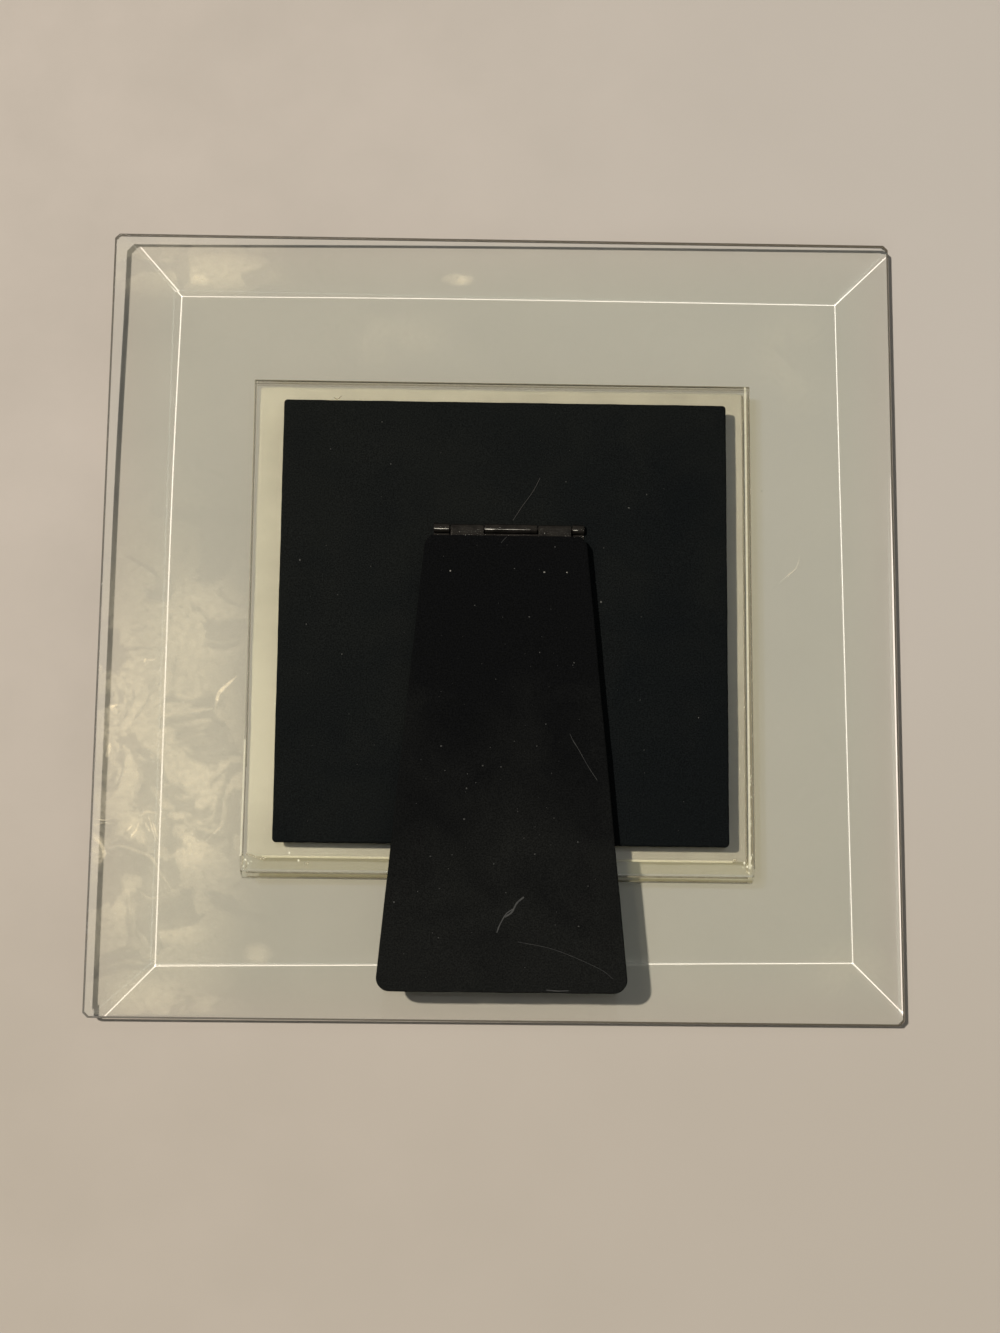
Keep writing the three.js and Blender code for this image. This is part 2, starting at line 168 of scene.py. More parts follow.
def piece_from(name, parts, material, body, slot, *nodes, crease=40, marks=None):
    """Makes a closed piece from its parts, each an array of points and a list of arrays of faces, and ties it
    to its body and material, in place of the plain nodes that it finishes.

    Points and faces go into the mesh as whole arrays, normals are turned outwards, and edges sharper than
    `crease` degrees stay sharp. `marks` names numbers given for every point. `slot` is not used.
    """
    points = np.concatenate([part[0] for part in parts])
    starts = np.cumsum([0] + [len(part[0]) for part in parts[:-1]])
    faces = [face + start for part, start in zip(parts, starts) for face in part[1]]
    sides = np.concatenate([np.full(len(face), face.shape[1]) for face in faces])
    corners = np.concatenate([face.ravel() for face in faces])
    mesh = bpy.data.meshes.new(name)
    mesh.vertices.add(len(points))
    mesh.vertices.foreach_set("co", points.astype(np.float32).ravel())
    mesh.loops.add(len(corners))
    mesh.loops.foreach_set("vertex_index", corners.astype(np.int32))
    mesh.polygons.add(len(sides))
    mesh.polygons.foreach_set("loop_start", (np.cumsum(sides) - sides).astype(np.int32))
    mesh.update(calc_edges=True)
    for mark, values in (marks or {}).items():
        layer = mesh.attributes.new(mark, "FLOAT", "POINT")
        layer.data.foreach_set("value", np.asarray(values, np.float32))
    work = bmesh.new()
    work.from_mesh(mesh)
    bmesh.ops.recalc_face_normals(work, faces=work.faces)
    work.to_mesh(mesh)
    work.free()
    mesh.shade_smooth()
    mesh.set_sharp_from_angle(angle=math.radians(crease))
    mesh.materials.append(material)
    piece = bpy.data.objects.new(name, mesh)
    bpy.context.scene.collection.objects.link(piece)
    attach(piece, body)
    if nodes:
        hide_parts(*nodes)


def grid_faces(rows, columns, loop_rows=False, loop_columns=False, start=0):
    """Four-sided faces over a grid of points, joined back to its start along a looped direction."""
    i, j = np.arange(rows - (not loop_rows))[:, None], np.arange(columns - (not loop_columns))
    on_i, on_j = (i + 1) % rows, (j + 1) % columns
    quads = [i * columns + j, on_i * columns + j, on_i * columns + on_j, i * columns + on_j]
    return np.stack(quads, -1).reshape(-1, 4) + start


def capped(rings, first_pole, last_pole):
    """A closed surface: rings of points joined one to the next, and both ends drawn to a pole."""
    rows, columns = rings.shape[:2]
    count, step = rows * columns, np.arange(columns)
    fan = np.stack([step, (step + 1) % columns, np.full(columns, count)], -1)
    ends = [fan, fan + (count - columns, count - columns, 1)]
    points = np.concatenate([rings.reshape(-1, 3), [first_pole, last_pole]])
    return points, [grid_faces(rows, columns, loop_columns=True), *ends]


def closed_band(rings):
    """A closed surface: rings of points joined one to the next, and the last to the first."""
    return rings.reshape(-1, 3), [grid_faces(*rings.shape[:2], loop_rows=True, loop_columns=True)]


def at_height(plan, z):
    """Points of a plan as points in space, all at one height."""
    return np.concatenate([plan, np.full((*plan.shape[:-1], 1), z)], -1)


def unit(vectors):
    """Vectors made one long."""
    return vectors / np.maximum(np.linalg.norm(vectors, axis=-1, keepdims=True), 1e-12)


def bead(path, wide, high, up=(0, 0, 1), sides=8, power=1.0):
    """A closed bead along a path of points.

    The section at each point is an ellipse, `wide` across the path and `high` along `up`, and both
    ends are drawn to the path's end points. A power under 1 squares the ellipse's corners.
    """
    path = np.asarray(path, float)
    along = unit(np.gradient(path, axis=0))
    across = unit(np.cross(along, np.broadcast_to(up, path.shape)))
    turn = np.linspace(0, 2 * np.pi, sides, endpoint=False)
    rings = path[:, None]
    for side, size, wave in ((across, wide, np.cos(turn)), (np.cross(across, along), high, np.sin(turn))):
        half = np.broadcast_to(np.asarray(size, float) / 2, len(path))[:, None, None]
        rings = rings + side[:, None] * half * (np.sign(wave) * np.abs(wave) ** power)[None, :, None]
    return capped(rings, path[0], path[-1])


def curve_through(points, steps):
    """A smooth curve through a few points, a cubic between each pair whose slope at a point is half
    of the step from the point before to the point after."""
    points = np.asarray(points, float)
    slopes = np.gradient(points, axis=0)
    at = np.linspace(0, len(points) - 1, steps)
    near = np.minimum(at.astype(int), len(points) - 2)
    t = (at - near)[:, None]
    before = (2 * t**3 - 3 * t**2 + 1) * points[near] + (t**3 - 2 * t**2 + t) * slopes[near]
    return before + (-2 * t**3 + 3 * t**2) * points[near + 1] + (t**3 - t**2) * slopes[near + 1]


def outline(corners, radii, inset=0.0, arc_steps=10, side_steps=36):
    """Points counter-clockwise round a convex outline with rounded corners.

    Each side is moved inwards by the inset. Each corner is an arc about the point where its two
    sides meet when they are moved in by the corner's radius, so outlines of unlike insets match
    point by point.
    """
    corners = np.asarray(corners, float)
    along = unit(np.roll(corners, -1, 0) - corners)
    inward = np.stack([-along[:, 1], along[:, 0]], -1)
    before = np.roll(inward, 1, 0)
    rounds = np.maximum(np.broadcast_to(radii, len(corners)) - inset, 0.03 * MM)
    sides = np.stack([before, inward], 1)
    offsets = np.stack([(before * corners).sum(-1), (inward * corners).sum(-1)], -1)
    centres = np.linalg.solve(sides, (offsets + (inset + rounds)[:, None])[..., None])[..., 0]
    first = np.arctan2(-before[:, 1], -before[:, 0])
    turn = (np.arctan2(-inward[:, 1], -inward[:, 0]) - first) % (2 * np.pi)
    angles = first[:, None] + turn[:, None] * np.linspace(0, 1, arc_steps + 1)
    arcs = centres[:, None] + rounds[:, None, None] * np.stack([np.cos(angles), np.sin(angles)], -1)
    straight = np.linspace(arcs[:, -1], np.roll(arcs[:, 0], -1, 0), side_steps + 2, axis=1)
    return np.concatenate([arcs, straight[:, 1:-1]], 1).reshape(-1, 2)


def ripple(x, y, size):
    """A gentle uneven height between -1 and 1: three crossing waves, the longest `size` long."""
    a, b = x / size * 2 * np.pi, y / size * 2 * np.pi
    long_waves = 0.5 * np.sin(a + 0.6 * b + 0.7) + 0.3 * np.sin(2.3 * a - 1.9 * b + 2.1)
    return long_waves + 0.2 * np.sin(4.4 * a + 5.3 * b + 4.0)


def slab(corners, radii, profile, waver, wave, heave=0.0, side_steps=36):
    """A closed slab. Its edge follows a profile of insets and heights round the outline and wavers
    by `waver` over waves `wave` long, and its faces, drawn to a pole each, heave by `heave`."""
    plans = [outline(corners, radii, inset, side_steps=side_steps) for inset, _ in profile]
    rings = np.stack([at_height(plan, z) for plan, (_, z) in zip(plans, profile)])
    away = unit((rings - rings[0].mean(0)) * (1, 1, 0))
    rings += waver * ripple(rings[..., 0], rings[..., 1], wave)[..., None] * away
    shares = np.linspace(0.04, 0.985, 30)[:, None, None]
    lower, upper = (ring.mean(0) + shares * (ring - ring.mean(0)) for ring in (rings[0], rings[-1]))
    rings = np.concatenate([lower, rings, upper[::-1]])
    rings[..., 2] += heave * ripple(rings[..., 0], rings[..., 1], 33 * MM)
    return capped(rings, rings[0].mean(0), rings[-1].mean(0))


def rounded_line(points, radius, steps=6):
    """A line through corner points, each inner corner replaced by a curve that starts and ends
    `radius` away from it and leans on it."""
    points = np.asarray(points, float)
    share = np.linspace(0, 1, steps)[:, None]
    inner = points[1:-1, None]
    before = (points[1:-1] - radius * unit(points[1:-1] - points[:-2]))[:, None]
    after = (points[1:-1] + radius * unit(points[2:] - points[1:-1]))[:, None]
    turns = (1 - share) ** 2 * before + 2 * share * (1 - share) * inner + share**2 * after
    return np.concatenate([points[:1], turns.reshape(-1, points.shape[1]), points[-1:]])


def specks(places, sizes):
    """Small rounded specks: one low ball, scaled by its sizes along X, Y and Z at every place."""
    rise = np.linspace(-0.8, 0.8, 4)[:, None]
    turn = np.linspace(0, 2 * np.pi, 8, endpoint=False)[None, :]
    round_off = np.sqrt(1 - rise**2)
    ball = np.stack([round_off * np.cos(turn), round_off * np.sin(turn), rise + 0 * turn], -1)
    points, faces = capped(ball, (0, 0, -1), (0, 0, 1))
    placed = np.asarray(places)[:, None] + points[None] * np.asarray(sizes)[:, None]
    first = (np.arange(len(places)) * len(points))[:, None, None]
    return placed.reshape(-1, 3), [(face[None] + first).reshape(-1, face.shape[1]) for face in faces]


def strokes(lines, height):
    """Thin flat marks at one height, from lines of (points in millimetres, width, strength).
    Gives the parts and, for every point, how strong the mark is there: it fades to both ends."""
    sides, steps = 6, 20
    taper = np.sin(np.linspace(0.12, np.pi - 0.12, steps)) ** 0.6
    parts, strengths = [], []
    for points, width, strength in lines:
        path = at_height(curve_through(np.asarray(points) * MM, steps), height)
        parts.append(bead(path, width * MM * taper, 0.015 * MM, sides=sides))
        strengths.append(np.concatenate([np.repeat(strength * taper, sides), [0, 0]]))
    return parts, np.concatenate(strengths)


def hairs(lines, height, thick):
    """Hairs at one height, from lines of (points in millimetres, width)."""
    paths = [at_height(curve_through(np.asarray(points) * MM, 24), height) for points, _ in lines]
    return [bead(path, width * MM, thick, sides=6) for path, (_, width) in zip(paths, lines)]


def rectangle(low, high):
    """The four corners of a node's box in plan, counter-clockwise."""
    return [(low[0], low[1]), (high[0], low[1]), (high[0], high[1]), (low[0], high[1])]


def bent_sheet(line, thickness, x_low, x_high, fillet, flare=None):
    """Sheet bent along a line in Y and Z and carried along X.

    Its two faces lie half a thickness to either side of the line. Within `fillet` of an edge they
    draw in on a quarter circle. `flare` adds a length to the half width at each point of the line.
    """
    line = np.asarray(line, float)
    run = np.concatenate([[0], np.cumsum(np.linalg.norm(np.diff(line, axis=0), axis=1))])
    rounding = fillet * (1 - np.cos(np.linspace(0, np.pi / 2, 5)))
    stops = np.unique(np.concatenate([rounding, run[-1] - rounding, run]))
    line = np.column_stack([np.interp(stops, run, line[:, k]) for k in (0, 1)])
    along = unit(np.gradient(line, axis=0))
    normal = np.column_stack([-along[:, 1], along[:, 0]])
    span = x_high - x_low
    stations = np.concatenate([rounding, np.linspace(0, span, 26)[1:-1], span - rounding[::-1]])
    edge = np.minimum(np.minimum(stations, span - stations)[:, None], np.minimum(stops, stops[-1] - stops))
    shortfall = np.maximum(fillet - edge, 0)
    half = thickness / 2 - fillet + np.sqrt(np.maximum(fillet**2 - shortfall**2, 0))
    x = np.broadcast_to(stations[:, None] + x_low, half.shape).copy()
    if flare is not None:
        side = 2 * stations / span - 1
        x += (np.sign(side) * np.abs(side) ** 40)[:, None] * flare(line)[None, :]
    offset = half[..., None] * normal
    points = np.concatenate([np.concatenate([x[..., None], line + sign * offset], -1) for sign in (1, -1)])
    rows, columns = half.shape
    count = rows * columns
    numbers = np.arange(count).reshape(rows, columns)
    rim = np.concatenate([numbers[0, :-1], numbers[:-1, -1], numbers[-1, :0:-1], numbers[:0:-1, 0]])
    wall = np.stack([rim, np.roll(rim, -1), np.roll(rim, -1) + count, rim + count], -1)
    return points.reshape(-1, 3), [grid_faces(rows, columns), grid_faces(rows, columns, start=count), wall]


# Glass plate

PLATE_LOW, PLATE_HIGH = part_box("glass_plate")
PLATE_WALL = 2.4 * MM  # upright edge between the bevel and the back face
CORNER_CUT = 1.2 * MM
GLASS_IOR, GLASS_DENSITY = 1.52, 22.0
SKIN = 0.03 * MM  # how far a mark lies under the glass surface that it belongs to
# The ground rim's borders in millimetres outwards from the plate's left, lower, right and upper side
RIM_INSIDE = (-0.38, 0.08, -0.1, -0.5)
RIM_OUTSIDE = (0.12, 0.32, 0.1, 0.15)
RIM_SKIN = (-0.08, -0.08, -0.08, -0.08)
RIM_THICK = 0.05 * MM
RIM_RIGHT_RISE = 0.5 * MM  # how much higher the rim's foot ends on the right side, which narrows the band of shade it throws there
VEIL_RISES, WIPE_RISE = (0.012 * MM, 0.004 * MM), 0.03 * MM  # of smudges and wiping marks over the glass
# Corners of the ridges' light, in millimetres, from the lower left one round: they differ a little
# from the ridges' own, because the glass bends the lamp's light and a shadow ray goes straight
RIDGE_LIGHT = [(-85.79, -88.38, 0.06), (89.49, -86.38, 0.3), (87.97, 86.15, 0.06), (-86.12, 87.51, 0.06)]
# Share of the ridge's width that the left, lower, right and upper line have
RIDGE_SHARES = (1.05, 0.82, 0.75, 0.72)
# Outer ends of the mitres' light, in the same order, and their height
MITRE_LIGHT = [(-99.51, -100.94), (101.45, -98.95), (100.72, 100.09), (-99.16, 101.45)]
MITRE_HEIGHT = 2.48
LINE_HEIGHT = 0.04 * MM
LINE_BLUE = 1.04  # how much more of the lamp's blue than of its other colours such a line gathers
# The painted line of light at the right edge, thrown on the table by a line inside the glass: its two ends'
# distance from the plate's side, and their y
CATCH_INSETS, CATCH_Y = (1.05 * MM, 0.78 * MM), (40 * MM, -99 * MM)
CATCH_RISE = 0.1 * MM  # over the foot of the plate's wall

# Smudges on the glass: x, y, half width and half height in millimetres, and how much they hide
SMUDGES = [
    (-84.0, -45.0, 21.0, 62.0, 0.21),
    (-98.0, -30.0, 12.0, 60.0, 0.06),
    (-80.0, -38.0, 14.0, 26.0, 0.12),
    (-86.0, 93.0, 30.0, 8.0, 0.14),
    (-75.0, -2.0, 11.5, 10.5, 0.13),
    (-94.5, -27.0, 4.5, 22.0, 0.14),
    (-71.5, -49.0, 11.5, 15.0, 0.13),
    (-87.5, -54.5, 5.0, 5.5, 0.27),
    (-99.9, -61.0, 1.6, 4.5, 0.4),
    (-83.3, -69.0, 4.0, 6.0, 0.17),
    (-76.8, -60.8, 4.0, 4.0, 0.17),
    (-91.5, -73.0, 6.0, 6.5, 0.12),
    (-79.0, -80.5, 6.5, 3.0, 0.13),
    (-59.0, -86.0, 3.0, 2.5, 0.2),
    (-75.0, 91.5, 12.5, 5.0, 0.15),
    (-79.5, 89.6, 2.0, 1.4, 0.3),
    (-11.5, 90.5, 3.4, 1.4, 0.42),
    (-30.0, 74.0, 16.0, 7.0, 0.05),
    (-86.0, -97.0, 9.0, 4.5, 0.12),
    (-70.0, -98.5, 8.0, 2.2, 0.1),
    (88.0, -88.0, 9.0, 6.0, 0.05),
    (76.0, 70.0, 9.0, 12.0, 0.04),
]
# Wiped streaks on the glass: points in millimetres, width, strength
STREAKS = [
    ([(-66.2, -15.9), (-68.4, -18.0), (-70.4, -20.1), (-71.1, -22.1), (-71.5, -25.0)], 0.9, 0.6),
    ([(-89.9, -12.1), (-89.4, -12.3)], 1.1, 0.7),
    ([(-89.4, -12.2), (-86.5, -11.8)], 0.4, 0.25),
    ([(-98.3, -23.6), (-96.9, -25.0), (-96.2, -26.3)], 1.3, 0.5),
    ([(-98.0, -24.2), (-95.0, -23.5)], 0.5, 0.5),
    ([(-97.6, -33.4), (-98.0, -35.8), (-98.4, -37.2)], 1.0, 0.6),
    ([(-100.9, -13.2), (-100.6, -15.2)], 0.9, 0.5),
    ([(-88.1, -53.4), (-86.7, -55.9)], 0.6, 0.7),
    ([(-86.3, -52.8), (-84.6, -57.8)], 0.5, 0.6),
    ([(-87.3, -51.6), (-85.1, -58.3)], 0.4, 0.7),
    ([(-91.7, -57.4), (-90.2, -55.4), (-89.6, -53.4)], 0.5, 0.4),
    ([(-92.6, -55.8), (-91.2, -54.2)], 0.4, 0.5),
    ([(-89.5, -51.9), (-87.5, -50.8), (-85.0, -51.2)], 0.7, 0.5),
    ([(-97.8, -60.5), (-94.1, -59.4), (-89.0, -60.9), (-86.0, -62.4), (-83.9, -65.8), (-80.4, -70.6)],
     0.8, 0.35),
    ([(-82.4, -71.6), (-86.0, -72.4), (-89.0, -70.4)], 0.4, 0.3),
    ([(-72.9, -58.4), (-70.7, -55.9), (-68.1, -53.6)], 0.35, 0.35),
    ([(-101.0, -52.5), (-98.3, -53.0), (-95.4, -52.2)], 0.3, 0.45),
    ([(-101.0, -54.5), (-98.3, -53.7), (-95.8, -53.9)], 0.3, 0.4),
    ([(-100.6, -57.6), (-98.9, -59.0), (-97.9, -61.6), (-99.0, -63.9)], 0.9, 0.5),
    ([(77.3, 17.3), (76.3, 14.2), (73.7, 11.8), (70.0, 8.5)], 0.25, 0.4),
    ([(67.5, 34.6), (67.9, 34.2)], 0.5, 0.4),
]


def plate_corners(margins):
    """The eight corners in plan of a square with its corners cut: the plate's, moved outwards by
    the margins of its left, lower, right and upper side."""
    left, lower, right, upper = np.array(margins) * MM
    x0, y0, x1, y1 = PLATE_LOW.x - left, PLATE_LOW.y - lower, PLATE_HIGH.x + right, PLATE_HIGH.y + upper
    cut = CORNER_CUT
    lower_right = [(x0 + cut, y0), (x1 - cut, y0), (x1, y0 + cut), (x1, y1 - cut)]
    return lower_right + [(x1 - cut, y1), (x0 + cut, y1), (x0, y1 - cut), (x0, y0 + cut)]


def smudge_density(points):
    """How dense the smudges are at each point: a sum of ovals with a full middle and a soft edge."""
    ovals = np.array(SMUDGES)
    offset = (points[:, None, :2] / MM - ovals[:, :2]) / ovals[:, 2:4]
    return (ovals[:, 4] * np.exp(-((offset**2).sum(-1) ** 2))).sum(-1)


def ground_glass_edge(settings):
    """The plate's seamed rim, ground and left matt. Its dark brown is partly painted shade: it stands for the
    darkness that the edge shows through the glass. By holding back most of the lamp's light, it throws the
    dark band that the bevel's bent light leaves along the edge.
    """
    material, tree = started("ground_glass_edge")
    place = add(tree, "TexCoord").outputs["Object"]
    grit = add(tree, "TexNoise", {"Vector": place, "Scale": 1 / (0.8 * MM), "Detail": 4.0})
    tones = {MIX_FACTOR: grit, MIX_A: settings.edge_colour, MIX_B: settings.edge_light}
    shade = add(tree, "Mix", tones, data_type="RGBA")
    rough = add(tree, "MapRange", [grit, 0.0, 1.0, 0.3, 0.6])
    inputs = {"Base Color": shade, "Roughness": rough, "IOR": GLASS_IOR, "Specular IOR Level": 0.3}
    return finished(material, inputs, settings.edge_pass)


def ridge_and_light_line(name, gain, settings):
    """The fine line where two polished faces meet, nearly clear. It passes the lamp's light times its gain,
    which is over one, so it throws a painted line of light on whatever lies under it, in place of the light
    that the bevel bends there."""
    material, _ = started(name)
    inputs = {"Base Color": settings.ridge_colour, "Roughness": 0.6, "Alpha": settings.ridge_alpha}
    return finished(material, inputs, (gain, gain, gain * LINE_BLUE, 1))


def finger_grease(name, colour):
    """Dried finger grease and wiping marks: a whitish veil with patches that end at a clear edge.
    The attribute `haze` says how much it hides."""
    material, tree = started(name)
    place = add(tree, "TexCoord").outputs["Object"]
    spread = {"Scale": 1 / (13 * MM), "Detail": 4.0, "Roughness": 0.55, "Distortion": 0.8}
    patches = add(tree, "TexNoise", {"Vector": place, **spread})
    patch = add(tree, "MapRange", [patches, 0.44, 0.5, 0.5, 1.1])
    wipes = add(tree, "TexNoise", {"Vector": place, "Scale": 1 / (1.6 * MM), "Detail": 5.0, "Roughness": 0.7})
    wipe = add(tree, "MapRange", [wipes, 0.3, 0.7, 0.6, 1.3])
    haze = add(tree, "Attribute", attribute_name="haze").outputs["Fac"]
    uneven = add(tree, "Math", [patch, wipe], operation="MULTIPLY")
    cover = add(tree, "Math", [uneven, haze], operation="MULTIPLY", use_clamp=True)
    inputs = {"Base Color": colour, "Roughness": 0.7, "Specular IOR Level": 0.2, "Alpha": cover}
    return finished(material, inputs, ALL_LIGHT)


class PlateSettings(bpy.types.PropertyGroup):
    """Sizes and colours of the glass plate."""

    glass_take: colour("Glass colour", "What thick glass leaves of white light", "b6f1df")
    lamp_pass: colour("Lamp light passed", "Share of the lamp's light past each face", "f9f7f5")
    # The rim's colours are partly painted shade, darker than a ground edge is of itself
    edge_colour: colour("Rim, dark", "Darker grain of the ground rim", "3b3122")
    edge_light: colour("Rim, light", "Lighter grain of the ground rim", "554a36")
    edge_pass: colour("Rim, lamp light passed", "Share of the lamp's light past the rim", "5a5348")
    ridge_colour: colour("Ridge colour", "Colour of the bevel's fine ridges", "f4f2e6")
    ridge_width: length("Ridge width", "Width of the line along the bevel's ridge", 0.3, 0.05, 2.0)
    mitre_width: length("Mitre width", "Width of a mitre line at the plate's corner", 0.26, 0.05, 3.0)
    smudge_colour: colour("Smudges", "Colour of finger grease on the glass", "f6e6c4")
    clear_haze: number("Haze", "How much the thin haze between the smudges hides", 0.02, 0.0, 0.3)
    ridge_alpha: number("Ridge cover", "How much of what lies behind a ridge it hides", 0.04)
    catch_gain: number("Edge gain", "Lamp light past the right edge's line", 1.75, 1.0, 6.0, precision=2)
    mitre_gain: number("Mitre gain", "Lamp light past a mitre", 1.9, 1.0, 6.0, precision=2)
    ridge_gain: number("Ridge gain", "Lamp light past a ridge", 1.8, 1.0, 6.0, precision=2)


class FRAME_OT_plate(bpy.types.Operator):
    """Make the glass plate's finish, its ground rim, and the fine ridges of its bevel with the painted lines
    of light that they throw
    """

    bl_idname = "photo_frame.plate"
    bl_label = "Glass Plate"

    def execute(self, context):
        settings = context.scene.frame_plate
        # Polished soda-lime float glass: its iron gives a faint green that deepens towards the edges
        clear = settings.glass_take, GLASS_DENSITY, settings.lamp_pass
        dress("glass_plate", clear_solid("float_glass", GLASS_IOR, *clear))
        wall_foot = PLATE_HIGH.z - PLATE_WALL
        self.rim(settings, PLATE_HIGH.z - SKIN, wall_foot + SKIN)
        ridges = np.array(RIDGE_LIGHT) * MM
        ends = at_height(np.array(MITRE_LIGHT), MITRE_HEIGHT) * MM
        widths = np.linspace(settings.ridge_width, settings.mitre_width, 12)
        sides = [
            bead(np.linspace(ridges[i - 1], ridges[i], 12), settings.ridge_width * share, LINE_HEIGHT)
            for i, share in enumerate(RIDGE_SHARES)
        ]
        mitres = [bead(np.linspace(ridge, end, 12), widths, LINE_HEIGHT) for ridge, end in zip(ridges, ends)]
        z = wall_foot + CATCH_RISE
        catch = np.linspace(*((PLATE_HIGH.x - inset, y, z) for inset, y in zip(CATCH_INSETS, CATCH_Y)), 24)
        widths = np.interp(np.linspace(0, 1, 24), (0, 0.3, 1), (0.08 * MM, 0.52 * MM, 0.6 * MM))
        edge = [bead(catch, widths, LINE_HEIGHT)]
        # Painted light: these lines throw bright lines on the table along the bevel's ridges, its mitres and
        # the right edge
        for name, parts, finish, gain in (
            ("plate_bevel_ridges", sides, "polished_ridge", settings.ridge_gain),
            ("plate_mitre_ridges", mitres, "polished_mitre", settings.mitre_gain),
            ("plate_edge_catch", edge, "bright_glass_edge", settings.catch_gain),
        ):
            material = ridge_and_light_line(finish, gain, settings)
            piece_from(name, parts, material, "frame", "plate_glass", crease=60)
        self.smudges(settings)
        return {"FINISHED"}

    def rim(self, settings, top, foot):
        """The ground rim: a strip on the back face's edge, down the wall to its foot."""
        under = top - RIM_THICK
        rows = [(RIM_INSIDE, top), (RIM_OUTSIDE, top), (RIM_OUTSIDE, foot)]
        rows += [(RIM_SKIN, foot), (RIM_SKIN, under), (RIM_INSIDE, under)]
        plans = [outline(plate_corners(margins), 0.2 * MM, 0.0, 3, 30) for margins, _ in rows]
        rings = np.stack([at_height(plan, z) for plan, (_, z) in zip(plans, rows)])
        near_foot = rings[..., 2] < foot + 0.01 * MM
        # The right side's foot stands higher, so the band of shade that the rim throws is narrower there
        rings[..., 2] += np.where(near_foot & (rings[..., 0] > PLATE_HIGH.x - 0.8 * MM), RIM_RIGHT_RISE, 0)
        material = ground_glass_edge(settings)
        piece_from("plate_ground_rim", [closed_band(rings)], material, "frame", "plate_glass", crease=30)

    def smudges(self, settings):
        """A thin veil on the back face round the pocket, and the marks of a wiping cloth in it."""
        outside = outline(rectangle(PLATE_LOW, PLATE_HIGH), 1.5 * MM, 0.5 * MM, 4, 110)
        inside = outline(rectangle(*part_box("acrylic_pocket")), 0.6 * MM, -0.4 * MM, 4, 110)
        plan = np.linspace(outside, inside, 46)
        upper, lower = (at_height(plan, PLATE_HIGH.z + rise) for rise in VEIL_RISES)
        veil = closed_band(np.concatenate([upper, lower[::-1]]))
        haze = settings.clear_haze + smudge_density(veil[0])
        wipes, strengths = strokes(STREAKS, PLATE_HIGH.z + WIPE_RISE)
        for name, parts, finish, cover in (
            ("plate_smudges", [veil], "dried_finger_grease", haze),
            ("plate_wipe_marks", wipes, "wiping_marks", strengths),
        ):
            grease = finger_grease(finish, settings.smudge_colour)
            # Both faces of such a thin piece are seen, so each hides half
            piece_from(name, parts, grease, "frame", "plate_glass", marks={"haze": cover / 2})


# Photo pocket

POCKET_LOW, POCKET_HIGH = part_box("acrylic_pocket")
POCKET_HALF = (POCKET_HIGH.z - POCKET_LOW.z) / 2
FILM_LOW, FILM_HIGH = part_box("pocket_film")
FILM_TRIM = Vector((0, 0.45 * MM, 0))  # how far the film's upper edge lies inside its solid's
FILM_ROUND, FILM_WAVER, FILM_WAVE = 1.0 * MM, 0.12 * MM, 24 * MM
EDGE_SKIN = 0.06 * MM  # how far the marks of a sawn edge lie inside it
WALL_X = (POCKET_LOW.x + EDGE_SKIN, POCKET_HIGH.x - EDGE_SKIN)
ACRYLIC_IOR, ACRYLIC_DENSITY = 1.49, 30.0
CRAZE_HEIGHT, BLISTER_HEIGHT = 8.0 * MM, 9.6 * MM
SMALL_BLISTERS = 26  # at seeded places along the right side's lower end
# Craze lines of the fold's ends, in millimetres: points, width, strength
CRAZES = [
    ([(-62.3, -61.4), (-60.8, -61.7), (-59.5, -62.2), (-58.3, -62.3)], 0.45, 1),
    ([(-59.4, -62.2), (-58.2, -62.4), (-57.3, -62.6)], 0.8, 1),
    ([(-63.2, -60.8), (-62.9, -62.8), (-63.2, -64.8)], 0.4, 1),
    ([(-62.2, -62.5), (-61.9, -64.1), (-62.4, -65.4)], 0.25, 1),
    ([(-61.7, -66.0), (-60.3, -66.6), (-58.6, -66.3)], 0.5, 1),
    ([(58.9, -61.9), (59.4, -61.6), (59.9, -61.9)], 0.7, 1),
    ([(63.2, -61.8), (62.2, -63.3), (62.9, -65.3)], 0.3, 1),
    ([(-47.9, 54.7), (-46.5, 55.6), (-45.2, 55.0), (-44.0, 55.6)], 0.3, 1),
    ([(-43.2, 56.6), (-42.2, 56.2), (-41.1, 57.1)], 0.35, 1),
    ([(-47.6, -63.3), (-47.2, -63.8), (-46.7, -63.2)], 0.4, 1),
]
# Blisters: x, y and radius in millimetres
BLISTERS = [
    (-49.1, -63.0, 0.25),
    (-51.4, -61.2, 0.25),
    (-62.2, -63.0, 0.24),
    (-61.5, -63.9, 0.2),
    (-62.6, -64.6, 0.17),
    (-60.7, -63.4, 0.15),
    (61.6, -62.4, 0.28),
    (63.0, -61.4, 0.22),
    (62.3, -63.3, 0.25),
    (61.2, -63.5, 0.16),
    (63.4, -63.0, 0.2),
    (62.7, -64.8, 0.18),
    (63.6, -60.3, 0.16),
]


